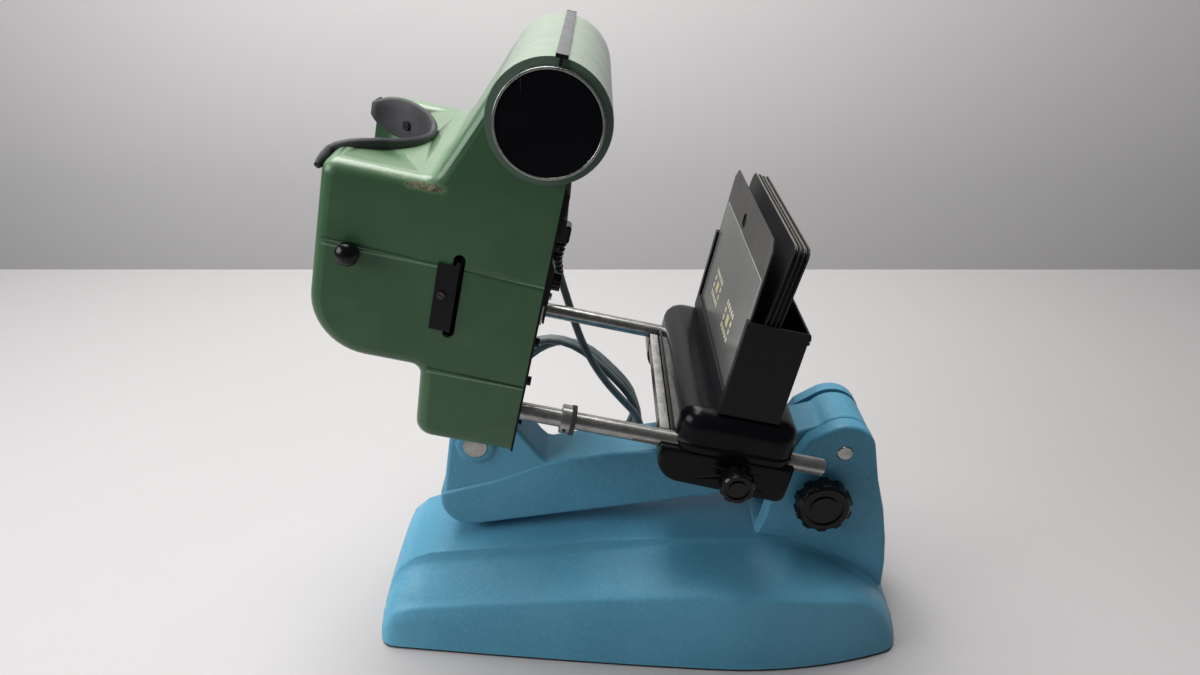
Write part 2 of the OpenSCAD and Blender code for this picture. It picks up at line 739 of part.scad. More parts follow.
module occluder_knob() {
  color(black)
    on_head()
      translate([knob_x, -head_half - gap, knob_z])
        rotate([90, 0, 0])
          difference() {
            union() {
              cylinder(r = 6.2, h = 4);
              translate([0, 0, 3])
                cylinder(r = 7.6, h = 5);
              translate([0, 0, 8])
                intersection() {
                  cylinder(r = 7.6, h = 5);
                  translate([0, 0, -4.5])
                    sphere(r = 9);
                }
            }
            translate([0, 0, -1])
              cylinder(r = 2.2 + fit, h = 7);
          }
}
module near_occluder_knob() {
  occluder_knob();
}
module far_occluder_knob() {
  mirror([0, 1, 0])
    occluder_knob();
}
module occluder() {
  color(black)
    on_head()
      translate([knob_x, 0, knob_z]) {
        along_y(2.2, -head_half - gap - 5, -head_half + 1);
        along_y(3, -head_half + 0.5, -blade_y - 1);
        rotate([0, -blade_lift, 0]) {
          upright(concat(arc([0, 0], 6, 90, 270, 6), [[blade_reach, -17], [blade_reach, 17]]),
            -blade_y - 2, -blade_y);
          translate([blade_reach - 1.2, -blade_y - 1, -17])
            cube([1.2, blade_y - 8, 34]);
        }
      }
}
module near_occluder() {
  occluder();
}
module far_occluder() {
  mirror([0, 1, 0])
    occluder();
}
leaf_t = 2.2;
tab_t = 1.8;
module lens_slide() {
  color(black)
    on_head()
      difference() {
        union() {
          translate([slot_x - leaf_t / 2, -head_half - gap - tab_t, slot_z0 + 5])
            cube([leaf_t, head_half - 8, slot_z1 - slot_z0 - 10]);
          translate([slot_x - 13, -head_half - gap - tab_t, slot_z0 + 5.5])
            cube([13, tab_t, slot_z1 - slot_z0 - 13]);
        }
        translate([0, -eye_gap / 2, eye_z])
          along_x(lens_r, slot_x - 5, slot_x + 5);
      }
}
module near_lens_slide() {
  lens_slide();
}
module far_lens_slide() {
  mirror([0, 1, 0])
    lens_slide();
}
module slide_screw() {
  color(steel)
    on_head()
      translate([slot_x - 8, -head_half - gap - tab_t, (slot_z0 + slot_z1) / 2 + 1])
        rotate([0, 30, 0])
          slot_screw(2.6, 1.4, 1, 0);
}
module slide_screw_near() {
  slide_screw();
}
module slide_screw_far() {
  mirror([0, 1, 0])
    slide_screw();
}

// Lamp hood across the top of the head, open towards the cards
hood_half = head_half + 1.5;
open_a0 = -62;
open_a1 = -4;
module lamp_hood() {
  color(sage)
    on_head()
      translate([hood_x, 0, hood_z])
        difference() {
          along_y(hood_r, -hood_half, hood_half);
          along_y(hood_r - hood_t, -hood_half + 2, hood_half - 2);
          along_y(cap_r + 0.05, -hood_half - 1, hood_half + 1);
          upright(concat([[0, 0]], arc([0, 0], hood_r + 5, open_a0, open_a1, 6)),
            -head_half + 4, head_half - 4);
        }
}
module end_caps() {
  color(black)
    on_head()
      translate([hood_x, 0, hood_z])
        both_sides()
          difference() {
            along_y(cap_r - 1.6, -hood_half - cap_d + 1, -hood_half + 4);
            along_y(cap_r - 5, -hood_half + 1, -hood_half + 5);
          }
}
module cap_rims() {
  color(steel)
    on_head()
      translate([hood_x, 0, hood_z])
        both_sides()
          difference() {
            along_y(cap_r, -hood_half - cap_d, -hood_half + 3);
            along_y(cap_r - 1.6, -hood_half - cap_d - 1, -hood_half + 4);
          }
}
module seam_strip() {
  color(grey)
    on_head()
      translate([hood_x, 0, hood_z])
        intersection() {
          difference() {
            along_y(hood_r + 2, -hood_half - 1, hood_half + 1);
            along_y(hood_r + eps, -hood_half - 2, hood_half + 2);
          }
          translate([-strip_w / 2, -hood_half - 2, 0])
            cube([strip_w, 2 * hood_half + 4, hood_r + 5]);
        }
}
module strip_clips() {
  color(black)
    on_head()
      both_sides()
        translate([hood_x, -hood_half - 2.4, hood_z + hood_r]) {
          translate([-strip_w / 2, 0, -0.2])
            cube([strip_w, 1.3, 2.4]);
          translate([-1, 0, -3.2])
            cube([2, 1.3, 4]);
          translate([0, 0, -3.4])
            along_y(1.1, -1.4, 1.2);
        }
}
module reflector() {
  color(steel)
    on_head()
      translate([hood_x, 0, hood_z])
        difference() {
          along_y(hood_r - hood_t - gap, -head_half + 6, head_half - 6);
          along_y(hood_r - hood_t - gap - 0.8, -head_half, head_half);
          upright([[-60, -30], [60, 10], [60, -60], [-60, -60]], -head_half, head_half);
        }
}
socket_y = head_half - 6;
module lamp_sockets() {
  color(black)
    on_head()
      translate([hood_x, 0, hood_z])
        both_sides()
          difference() {
            along_y(13, -hood_half + 1 + eps, -socket_y + 20);
            along_y(bulb_r - 2 + gap, -socket_y + 8, -socket_y + 22);
          }
}
module lamp_bulbs() {
  color(pale_glass)
    on_head()
      translate([hood_x, 0, hood_z])
        both_sides() {
          along_y(bulb_r - 2, -socket_y + 8.3, -socket_y + 24);
          translate([0, -socket_y + 23, 0])
            rotate([-90, 0, 0])
              rotate_extrude()
                polygon([[0, 0], [bulb_r - 2, 0], [bulb_r, 5], [bulb_r, 34], [bulb_r * 0.7, 41],
                  [bulb_r * 0.35, 44], [0, 44]]);
        }
}

// Rods and what is clamped on them
module rod() {
  translate([0, 0, rod_z])
    along_x(rod_r, bar_x0 + 2, rod_len);
}
keyway_x = 109;
module near_rod() {
  color(steel)
    on_head()
      translate([0, -rod_y, 0])
        difference() {
          rod();
          translate([keyway_x, 0, rod_z])
            rotate([25, 0, 0])
              translate([0, -rod_r - 1, -1.6])
                cube([rod_len, 2.2, 3.2]);
        }
}
module far_rod() {
  color(steel)
    on_head()
      translate([0, rod_y, 0])
        rod();
}
collar_x = 56.5;
collar_w = 6.5;
collar_r = 10.3;
module stop_collar() {
  color(steel)
    on_head()
      translate([0, -rod_y, rod_z])
        difference() {
          along_x(collar_r, collar_x, collar_x + collar_w);
          along_x(rod_r + fit, collar_x - 1, collar_x + collar_w + 1);
          translate([collar_x + collar_w / 2, 0, 0])
            rotate([20, 0, 0])
              along_y(1.6, -collar_r - 1, 0);
        }
    on_head()
      translate([collar_x + collar_w / 2, -rod_y, rod_z])
        rotate([20, 0, 0])
          difference() {
            along_y(1.3, -collar_r + 1, -rod_r - 0.1);
            rotate([90, 0, 0])
              cylinder(r = 0.7, h = collar_r + 1, $fn = 6);
          }
}
module collar_washer() {
  color(black)
    on_head()
      translate([0, -rod_y, rod_z])
        difference() {
          along_x(collar_r + 0.5, collar_x + collar_w, collar_x + collar_w + 3.5);
          along_x(rod_r + fit, collar_x - 1, collar_x + collar_w + 5);
        }
}

// Carriage: a cover and a lower body that close round the bushes on the rods
part_z = rod_z;
cover_x0 = carriage_x + 9;
carriage_x1 = carriage_x + carriage_len;
bush_r = rod_r + 2.4;
bush_len = 16;
bush_front = 17;
bush_rear = 9.5;
block_in = 62;
cover_top = part_z + cover_h;
module bush_cuts(extra) {
  both_sides()
    translate([0, rod_y, part_z]) {
      along_x(rod_r + 0.6, carriage_x - 5, carriage_x1 + 5);
      along_x(bush_r + extra, carriage_x + bush_front, carriage_x + bush_front + bush_len);
      along_x(bush_r + extra, carriage_x1 - bush_rear - bush_len, carriage_x1 - bush_rear);
    }
}
module carriage_cover() {
  color(black)
    on_head()
      difference() {
        union() {
          soft_slab(round_rect(cover_x0, carriage_x1 - 1, -carriage_half + 1.5, carriage_half - 1.5, 16),
            part_z + 0.1, cover_top, 0, 13);
          soft_slab(round_rect(cover_x0 - 1.5, carriage_x1, -carriage_half, carriage_half, 17),
            part_z + 0.1, part_z + 6, 0, 2, 3);
        }
        translate([cover_x0 + 4, -block_in, part_z - 1])
          cube([carriage_len - 18, 2 * block_in, cover_h - 4]);
        bush_cuts(fit);
      }
}
module carriage_body() {
  color(black)
    on_head()
      difference() {
        union() {
          both_sides()
            upright_slab(concat([[carriage_x1, part_z - 0.1], [carriage_x, part_z - 0.1]],
              arc([carriage_x + 19, part_z - block_h + 19], 19, 180, 262, 7),
              arc([carriage_x1 - 7, part_z - block_h + 5], 7, 270, 355, 4)),
              block_in, carriage_half - 0.5, 3);
          translate([carriage_x, -block_in - 1, part_z - 6])
            cube([carriage_len, 2 * block_in + 2, 5.9]);
        }
        bush_cuts(fit);
        translate([clamp_x, 0, clamp_z])
          along_y(clamp_stud_r + fit, -carriage_half - 1, -carriage_half + 26);
        for (x = [carriage_x + 24, carriage_x1 - 24], s = [-1, 1])
          translate([x, s * 50, part_z - 8])
            cylinder(r = 1.6 + fit, h = 12);
      }
}
clamp_x = 186;
clamp_z = part_z - 13;
module front_bar() {
  color(steel)
    on_head()
      translate([carriage_x, -rod_y + bush_r + 2, part_z + eps])
        cube([cover_x0 - 2 - carriage_x, 2 * (rod_y - bush_r - 2), 2]);
}
module rod_bushes() {
  color(bronze)
    on_head()
      both_sides()
        for (x = [carriage_x + bush_front + 0.05, carriage_x1 - bush_rear - bush_len + 0.05])
          translate([0, rod_y, part_z])
            difference() {
              along_x(bush_r, x, x + bush_len - 0.1);
              along_x(rod_r + fit, x - 1, x + bush_len + 1);
            }
}
clamp_stud_r = 3;
module carriage_clamp_stud() {
  color(steel)
    on_head()
      translate([clamp_x, 0, clamp_z])
        along_y(clamp_stud_r, -carriage_half - 8, -carriage_half + 24);
}
module carriage_clamp_knob() {
  color(black)
    on_head()
      translate([clamp_x, -carriage_half - 0.4, clamp_z])
        difference() {
          lobed_knob(clamp_knob_r, 17, 8);
          along_y(clamp_stud_r + fit, -10, 1);
        }
}
module carriage_screws() {
  color(steel)
    on_head()
      for (x = [carriage_x + 24, carriage_x1 - 24], s = [-1, 1])
        translate([x, s * 50, part_z - 6 - eps])
          rotate([90, 0, 0])
            slot_screw(3.5, 2.2, 1.6, 5);
}

// Card box on the cover, with the front card in its channel and the pack behind it
box_x = 163;
box_half = card_w / 2 + 4;
box_z = cover_top + eps;
lip_h = 14;
flange = 7;
front_card_x = box_x + box_t + gap;
module card_box() {
  color(black)
    on_head()
      difference() {
        translate([box_x, -box_half, box_z])
          cube([box_d, 2 * box_half, box_h]);
        translate([box_x + box_t, -box_half + box_t, box_z + box_t])
          cube([box_d - 2 * box_t, 2 * (box_half - box_t), box_h]);
        translate([box_x - 1, -box_half + flange, box_z + lip_h])
          cube([box_t + 2, 2 * (box_half - flange), box_h]);
      }
}
pack_lean = 3.5;
pack_x = front_card_x + card_t + 5;
pack_t = card_count * card_t;
spring_x = box_x + box_d - box_t;
module card_spring() {
  color(steel)
    on_head()
      upright([[spring_x - 0.9, box_z + box_h - 4], [spring_x - 0.05, box_z + box_h - 4],
        [spring_x - 0.05, box_z + box_h - 16], [spring_x - 12, box_z + 22], [spring_x - 9, box_z + 8],
        [spring_x - 9.9, box_z + 8], [spring_x - 13, box_z + 22], [spring_x - 0.9, box_z + box_h - 16]],
        -30, 30);
}
module spring_screws() {
  color(black)
    on_head()
      for (y = [-box_half + 10, box_half - 10])
        translate([spring_x + box_t + eps, y, box_z + box_h - 8])
          rotate([0, 0, 90])
            slot_screw(4, 3.4, 1.5, 0);
}
module card(x) {
  translate([x, 0, 0])
    rotate([0, -90, 180])
      linear_extrude(card_t - 0.1)
        polygon([[0, -card_w / 2], [card_h - 7, -card_w / 2], [card_h, -card_w / 2 + 7],
          [card_h, card_w / 2 - 7], [card_h - 7, card_w / 2], [0, card_w / 2]]);
}
module front_card() {
  color(black)
    on_head()
      translate([0, 0, box_z + box_t + 0.1])
        difference() {
          card(front_card_x);
          translate([0, 12, card_h - 20])
            along_x(6, front_card_x - 1, front_card_x + card_t + 1);
        }
}
module card_pack() {
  color(black)
    on_head()
      translate([pack_x, 0, box_z + box_t + 0.9])
        rotate([0, pack_lean, 0])
          for (k = [0:card_count - 1])
            card(k * card_t);
}

// Mains cord: a clamp on the back plate, the hanging lead, its coil and the plug
clamp_y = 84;
clamp_len = 16;
lead_x = 36;
lead_top = 147.5;
module cord_clamp() {
  color(black)
    on_head()
      translate([0, clamp_y, 0])
        difference() {
          upright_slab(round_rect(back_x + plate_t + 2 * eps, lead_x + 7, lead_top, lead_top + clamp_len, 3),
            -8, 8, 2);
        }
}
function cross3(a, b) = [a[1] * b[2] - a[2] * b[1], a[2] * b[0] - a[0] * b[2], a[0] * b[1] - a[1] * b[0]];
function unit(v) = v / norm(v);
function heading(p, i) = unit(i == 0 ? p[1] - p[0] : i == len(p) - 1 ? p[i] - p[i - 1] : p[i + 1] - p[i - 1]);
module tube(p, r, sides) {
  across = [0.05, 1, 0.02];
  skin([for (i = [0:len(p) - 1]) let (d = heading(p, i), u = unit(cross3(d, cross3(across, d))),
    v = cross3(d, u)) [for (k = [0:sides - 1]) let (a = 360 * k / sides) p[i] + r * (cos(a) * u + sin(a) * v)]]);
}
function spline(p, n) = [for (i = [0:len(p) - 2]) let (a = p[max(i - 1, 0)], b = p[i], c = p[i + 1],
  e = p[min(i + 2, len(p) - 1)]) for (k = [0:(i == len(p) - 2 ? n : n - 1)]) let (t = k / n)
    0.5 * (2 * b + (c - a) * t + (2 * a - 5 * b + 4 * c - e) * t * t + (3 * b - a - 3 * c + e) * t * t * t)];
lead_route = [[-64, 84, 299], [-66, 84, 291], [-68, 87, 281], [-67, 95, 268], [-64, 101, 252],
  [-59, 104, 232], [-53, 105, 210], [-46, 105, 190], [-36, 106, 168], [-24, 106, 149],
  [-11, 107, 132], [2, 107, 116], [7, 107, 104]];
coil_turns = 4;
coil_sides = 6;
coil_start = 0;
coil_mid = [-82, 96];
coil_rx = 90;
coil_up = 98;
coil_down = 92;
coil_pitch = 8.2;
function coil_point(t) = let (a = coil_start - 360 * t,
  s = 1 - 0.062 * t + 0.028 * sin(250 * t),
  f = 1 - 0.1 * pow(sin(2 * a), 2))
  [coil_mid[0] + coil_rx * (0.8 * (1 - s) + s * f * cos(a)),
    107.5 + coil_pitch * t + 100 * pow(max(0, t - coil_end_t + 0.35), 2),
    coil_mid[1] + coil_up * (0.3 * (1 - s) + (sin(a) > 0 ? f : coil_down / coil_up) * s * sin(a))];
coil_end_t = coil_turns + (coil_start + 90) / 360;
coil_route = [for (k = [0:round(24 * coil_end_t)]) coil_point(min(k / 24, coil_end_t))];
coil_gap = min([for (i = [0:len(coil_route) - 2], j = [i + 6:1:len(coil_route) - 1])
  norm(coil_route[i] - coil_route[j])]) - cord_d;
echo(coil_gap = coil_gap);
module cord() {
  color(cord_green)
    tube(concat(spline(lead_route, 2), [coil_route[0]]), cord_d / 2, 8);
}
module cord_coil() {
  color(cord_green)
    tube(coil_route, cord_d / 2, coil_sides);
}
plug_at = coil_route[len(coil_route) - 1];
plug_turn = heading(coil_route, len(coil_route) - 1);
module at_plug() {
  translate(plug_at)
    rotate([0, -90, atan2(plug_turn[1], plug_turn[0]) + 180])
      children();
}
plug_len = 30;
module plug() {
  color(black)
    at_plug() {
      cylinder(r1 = cord_d / 2 + 0.6, r2 = 6, h = 12);
      translate([0, 0, 11])
        difference() {
          intersection() {
            cylinder(r = 12, h = plug_len - 11);
            translate([-12, -7.5, 0])
              cube([24, 15, plug_len]);
          }
          for (x = [-6.3, 6.3])
            translate([x - 0.8, -3.1, plug_len - 20])
              cube([1.6, 6.2, 20]);
        }
    }
}
module plug_pins() {
  color(steel)
    at_plug()
      for (x = [-6.3, 6.3])
        translate([x - 0.7, -3, plug_len - 8])
          cube([1.4, 6, 24]);
}

base_casting();
base_pad();
arm_pin();
clamp_stud();
clamp_nut();
arm_clamp_knob();
arm_casting();
hub_bush();
tilt_pin();
pivot_washers();
head_frame();
head_casing();
back_plate();
plate_screws();
brow_rest();
brow_screws();
septum();
lens_cells();
lenses();
near_occluder_knob();
far_occluder_knob();
near_occluder();
far_occluder();
near_lens_slide();
far_lens_slide();
slide_screw_near();
slide_screw_far();
lamp_hood();
end_caps();
cap_rims();
seam_strip();
strip_clips();
reflector();
lamp_sockets();
lamp_bulbs();
back_bracket();
bracket_nut();
pointer();
latch_plates();
near_rod();
far_rod();
stop_collar();
collar_washer();
cord_clamp();
carriage_cover();
carriage_body();
carriage_screws();
front_bar();
rod_bushes();
carriage_clamp_stud();
carriage_clamp_knob();
card_box();
card_spring();
spring_screws();
front_card();
card_pack();
cord();
cord_coil();
plug();
plug_pins();
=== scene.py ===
import json
import math

import bmesh
import bpy
import numpy as np
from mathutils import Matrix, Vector


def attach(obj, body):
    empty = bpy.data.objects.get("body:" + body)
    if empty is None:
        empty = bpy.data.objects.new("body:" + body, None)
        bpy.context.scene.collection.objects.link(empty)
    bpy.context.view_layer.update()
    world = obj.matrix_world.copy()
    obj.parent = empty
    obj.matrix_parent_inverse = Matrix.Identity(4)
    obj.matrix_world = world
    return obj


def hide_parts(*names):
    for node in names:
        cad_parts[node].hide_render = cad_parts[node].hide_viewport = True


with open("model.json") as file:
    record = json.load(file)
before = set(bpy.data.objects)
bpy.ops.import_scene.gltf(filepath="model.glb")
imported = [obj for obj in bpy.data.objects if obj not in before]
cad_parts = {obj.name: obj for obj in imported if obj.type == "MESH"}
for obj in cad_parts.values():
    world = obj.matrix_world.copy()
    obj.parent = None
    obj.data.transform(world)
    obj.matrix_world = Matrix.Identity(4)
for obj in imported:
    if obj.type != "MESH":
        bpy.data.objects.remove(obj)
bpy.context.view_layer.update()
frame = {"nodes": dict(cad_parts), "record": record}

NODES = frame["nodes"]
SCENE = bpy.context.scene
SCENE.view_settings.view_transform = "Standard"

# The head's own frame, in mm: its origin is the tilt pin, and it leans back by this angle at rest
TILT_X, TILT_Z = -131, 162
LEAN = math.radians(12.4)
CL, SL = math.cos(LEAN), math.sin(LEAN)
HEAD_UP = (SL, 0, CL)
HEAD_FRONT = (-CL, 0, SL)


def head(x, y, z):
    """A point of the head's frame, in mm, as a point of the row frame in metres."""
    return Vector(((TILT_X + x * CL + z * SL) / 1000, y / 1000, (TILT_Z - x * SL + z * CL) / 1000))


# Camera
FRAME_WIDTH_PX = 1200
FOCAL_PX = 920.6
LOOK_DOWN = 26.15
cam_data = bpy.data.cameras.new("camera")
cam_data.sensor_width = 36
cam_data.lens = FOCAL_PX / FRAME_WIDTH_PX * cam_data.sensor_width
camera = bpy.data.objects.new("camera", cam_data)
SCENE.collection.objects.link(camera)
camera.location = (-0.031, -0.6463, 0.566)
camera.rotation_euler = (math.radians(90 - LOOK_DOWN), 0, 0)
SCENE.camera = camera


# Material graph helpers
def rgb(r, g, b):
    """An sRGB colour in 0..255 as linear RGBA."""
    def lin(c):
        c /= 255
        return c / 12.92 if c <= 0.04045 else ((c + 0.055) / 1.055) ** 2.4
    return (lin(r), lin(g), lin(b), 1)


def lin_mix(c, d, k):
    return tuple(a + (b - a) * k for a, b in zip(c, d))


class Mat:
    """A material whose nodes are added by short calls. Every texture reads object coordinates."""

    def __init__(self, name, rough=0.5, metal=0.0, colour=(0.5, 0.5, 0.5, 1), **sockets):
        self.m = bpy.data.materials.new(name)
        self.m.use_nodes = True
        self.t = self.m.node_tree
        self.b = self.t.nodes["Principled BSDF"]
        self.b.inputs["Roughness"].default_value = rough
        self.b.inputs["Metallic"].default_value = metal
        self.b.inputs["Base Color"].default_value = colour
        for k, v in sockets.items():
            self.b.inputs[k.replace("_", " ")].default_value = v
        self.pos = self.t.nodes.new("ShaderNodeTexCoord").outputs["Object"]

    def n(self, kind, **kw):
        """A new node: _name sets a property, i0 an input by number, and any other word an input by name."""
        node = self.t.nodes.new("ShaderNode" + kind)
        for k, v in kw.items():
            if k.startswith("_"):
                setattr(node, k[1:], v)
            else:
                self._feed(node.inputs[int(k[1:]) if k[1:].isdigit() else k.replace("_", " ")], v)
        return node

    def _feed(self, socket, value):
        if hasattr(value, "links"):
            self.t.links.new(value, socket)
        else:
            socket.default_value = value

    def noise(self, scale, detail=3, rough=0.55, stretch=None, distort=0.0):
        vec = self.pos
        if stretch:
            vec = self.n("Mapping", Vector=vec, Scale=stretch).outputs[0]
        return self.n("TexNoise", Vector=vec, Scale=scale, Detail=detail, Roughness=rough,
                      Distortion=distort).outputs["Fac"]

    def voronoi(self, scale, feature="F1"):
        return self.n("TexVoronoi", _feature=feature, Vector=self.pos, Scale=scale).outputs["Distance"]

    def ramp(self, fac, p0, p1, v0, v1):
        """The grey v0 up to fac = p0, then evenly to the grey v1 at p1."""
        node = self.n("ValToRGB", Fac=fac)
        for e, p, v in zip(node.color_ramp.elements, (p0, p1), (v0, v1)):
            e.position = p
            e.color = (v, v, v, 1)
        return node.outputs["Color"]

    def mix(self, fac, a, b):
        node = self.n("Mix", _data_type="RGBA")
        for i, v in ((0, fac), (6, a), (7, b)):
            self._feed(node.inputs[i], v)
        return node.outputs[2]

    def blotch(self, fac, p0, p1, amount, under, over):
        """The colour under, turned by up to amount into the colour over as fac goes from p0 to p1."""
        return self.mix(self.ramp(fac, p0, p1, 0.0, amount), under, over)

    def span(self, value, low, high, out_low=0.0, out_high=1.0):
        """The value carried from low..high to out_low..out_high and held at both ends."""
        return self.n("MapRange", _clamp=True, Value=value, From_Min=low, From_Max=high,
                      To_Min=out_low, To_Max=out_high).outputs[0]

    def math(self, op, a, b=0.0, clamp=False):
        return self.n("Math", _operation=op, _use_clamp=clamp, i0=a, i1=b).outputs[0]

    def times(self, a, b):
        return self.math("MULTIPLY", a, b)

    def vector(self, op, a, b, out="Value"):
        return self.n("VectorMath", _operation=op, i0=a, i1=b).outputs[out]

    def near_line(self, p, q, r0, r1):
        """1 within r0 of the segment from p to q, 0 outside r1."""
        p, q = Vector(p), Vector(q)
        d = q - p
        rel = self.vector("SUBTRACT", self.pos, tuple(p), "Vector")
        t = self.vector("DOT_PRODUCT", rel, tuple(d / d.length_squared))
        t = self.math("MAXIMUM", self.math("MINIMUM", t, 1.0), 0.0)
        foot = self.n("VectorMath", _operation="SCALE", i0=tuple(d), Scale=t).outputs[0]
        return self.span(self.vector("DISTANCE", rel, foot), r1, r0)

    def normal_z(self):
        return self.n("SeparateXYZ", Vector=self.n("NewGeometry").outputs["Normal"]).outputs["Z"]

    def along(self, origin, axis):
        """The distance along an axis from a point of the row frame: metres times the axis's length."""
        rel = self.vector("SUBTRACT", self.pos, tuple(origin), "Vector")
        return self.vector("DOT_PRODUCT", rel, tuple(axis))

    def facing(self, axis, low, high):
        """0 to 1 as the surface turns towards an axis of its own body."""
        normal = self.t.nodes.new("ShaderNodeTexCoord").outputs["Normal"]
        return self.span(self.vector("DOT_PRODUCT", normal, tuple(axis)), low, high)

    def inside(self, value, low, high):
        return self.times(self.math("GREATER_THAN", value, low), self.math("LESS_THAN", value, high))

    def every(self, *masks):
        out = masks[0]
        for k in masks[1:]:
            out = self.times(out, k)
        return out

    def colour(self, sock):
        self.t.links.new(sock, self.b.inputs["Base Color"])
        return self

    def rough(self, fac, low, high):
        self.t.links.new(self.span(fac, 0.0, 1.0, low, high), self.b.inputs["Roughness"])
        return self

    def metal(self, fac):
        self.t.links.new(fac, self.b.inputs["Metallic"])
        return self

    def bump(self, *heights):
        """heights: (socket, strength, distance in metres), chained."""
        last = None
        for h, strength, dist in heights:
            node = self.n("Bump", Height=h, Strength=strength, Distance=dist)
            if last:
                self.t.links.new(last, node.inputs["Normal"])
            last = node.outputs[0]
        self.t.links.new(last, self.b.inputs["Normal"])
        return self


# Materials
def blue_paint():
    base, pale, deep = rgb(90, 155, 183), rgb(112, 173, 196), rgb(76, 141, 170)
    m = Mat("blue_enamel", rough=0.40, colour=base, Specular_IOR_Level=0.3)
    big = m.noise(9, 3)
    fine = m.noise(420, 2, 0.6)
    grain = m.noise(1500, 2, 0.7)
    col = m.blotch(big, 0.32, 0.7, 1.0, deep, base)
    col = m.blotch(fine, 0.48, 0.8, 0.40, col, pale)
    col = m.blotch(m.noise(38, 5, 0.7), 0.60, 0.78, 0.25, col, rgb(52, 96, 112))
    specks = m.ramp(m.voronoi(70), 0.0, 0.030, 0.9, 0.0)
    keep = m.ramp(m.noise(14, 2), 0.56, 0.62, 0.0, 1.0)
    col = m.mix(m.times(specks, keep), col, rgb(30, 54, 64))
    m.colour(col).rough(m.noise(60, 3), 0.34, 0.54)
    m.bump((big, 0.2, 0.0010), (fine, 0.35, 0.00025), (grain, 0.30, 0.00008))
    return m.m


# A painted highlight: a pale level line along the lit lip by each of the near side's two creases: (x, z) of
# its ends in the head's frame
NEAR_SIDE_Y = -98
PAINTED_CREASE_HIGHLIGHTS = [((-118, 180), (26, 180)), ((-40, 103), (26, 103))]
LINE_INNER, LINE_OUTER = 0.0003, 0.0009
# Worn edges: both ends of a line, its full and its outermost radius in metres, and how strong the wear is
WORN = [(head(-84, -95, 234), head(-52, -96, 231), 0.0004, 0.0052, 0.52),
        (head(-68, -96, 230), head(-48, -96, 231), 0.0010, 0.0060, 0.74),
        (head(-92, -94, 98), head(-52, -95, 103), 0.0004, 0.0036, 0.62),
        (head(-122, -93, 231), head(-108, -94, 236), 0.0005, 0.0035, 0.36),
        (head(-84, 95, 235), head(-60, 95, 236), 0.0010, 0.0050, 0.50)]


def green_paint(name, base, pale, deep, painted_top_sheen):
    """Green enamel, painted paler where it looks up by up to the given amount, a painted sheen of the light
    from above, with painted highlight lines by the creases and worn edges.
    """
    m = Mat(name, rough=0.30, colour=base, Coat_Weight=0.12, Coat_Roughness=0.14, Specular_IOR_Level=0.35)
    big = m.noise(11, 3)
    peel = m.noise(330, 2, 0.5)
    col = m.blotch(big, 0.3, 0.7, 1.0, deep, base)
    col = m.blotch(m.noise(26, 4, 0.6), 0.5, 0.9, 0.45, col, pale)
    col = m.blotch(m.noise(30, 5, 0.7, (1, 1, 3)), 0.58, 0.8, 0.25, col, rgb(58, 84, 58))
    # painted sheen: up-facing surfaces are mixed towards a pale green, standing in for the broad reflection
    # of the light above
    col = m.mix(m.span(m.normal_z(), 0.25, 0.95, 0.0, painted_top_sheen), col, rgb(146, 163, 140))
    # painted highlight where each crease's lower lip catches the light
    for (x0, z0), (x1, z1) in PAINTED_CREASE_HIGHLIGHTS:
        ends = head(x0, NEAR_SIDE_Y, z0), head(x1, NEAR_SIDE_Y, z1)
        line = m.near_line(*ends, LINE_INNER, LINE_OUTER)
        col = m.mix(m.times(line, 0.45), col, rgb(132, 166, 132))
    # the enamel is rubbed thin, and in places knocked off
    wear = None
    for p, q, r0, r1, strength in WORN:
        w = m.times(m.near_line(p, q, r0, r1), strength)
        wear = w if wear is None else m.math("MAXIMUM", wear, w)
    ragged = m.noise(420, 5, 0.8, distort=0.8)
    broken = m.noise(110, 3, 0.6, (1, 1, 0.5))
    noisy = m.math("ADD", m.times(ragged, 0.45), m.times(broken, 0.35))
    lost = m.ramp(m.math("ADD", m.times(wear, 0.62), noisy), 0.68, 0.74, 0.0, 0.95)
    halo = m.ramp(m.math("ADD", m.times(wear, 0.9), noisy), 0.60, 0.95, 0.0, 0.42)
    under = m.blotch(m.noise(300, 3, 0.7), 0.40, 0.62, 1.0, rgb(66, 62, 48), rgb(128, 124, 98))
    col = m.mix(halo, col, rgb(132, 160, 122))
    col = m.mix(lost, col, under)
    m.colour(col).rough(m.math("ADD", m.noise(45, 3), m.times(lost, 0.6), True), 0.20, 0.42)
    m.bump((big, 0.2, 0.0008), (peel, 0.14, 0.00010), (m.math("SUBTRACT", 1.0, lost), 0.5, 0.0002))
    return m.m


def black_paint():
    m = Mat("black_enamel", rough=0.3, colour=rgb(14, 15, 19), Coat_Weight=0.04, Coat_Roughness=0.08,
            Specular_IOR_Level=0.12)
    hammered = m.voronoi(330, "SMOOTH_F1")
    fine = m.noise(900, 2, 0.6)
    dust = m.ramp(m.noise(60, 5, 0.7), 0.5, 0.85, 0.0, 0.4)
    up = m.span(m.normal_z(), 0.3, 1.0, 0.05, 1.0)
    col = m.mix(m.times(dust, up), rgb(9, 10, 14), rgb(24, 25, 29))
    m.colour(col).rough(m.noise(70, 3), 0.18, 0.32)
    m.bump((hammered, 0.12, 0.00025), (fine, 0.15, 0.00005))
    return m.m


def black_plate():
    m = Mat("black_japan", rough=0.42, colour=rgb(18, 19, 23), Specular_IOR_Level=0.2)
    streak = m.noise(90, 4, 0.65, (1, 0.35, 1))
    col = m.blotch(streak, 0.4, 0.8, 0.3, rgb(16, 17, 20), rgb(36, 37, 42))
    col = m.blotch(m.noise(420, 3, 0.7, (1, 0.15, 0.15)), 0.70, 0.80, 0.25, col, rgb(72, 72, 76))
    m.colour(col).rough(streak, 0.34, 0.52)
    m.bump((m.noise(700, 2, 0.6), 0.12, 0.00006))
    return m.m


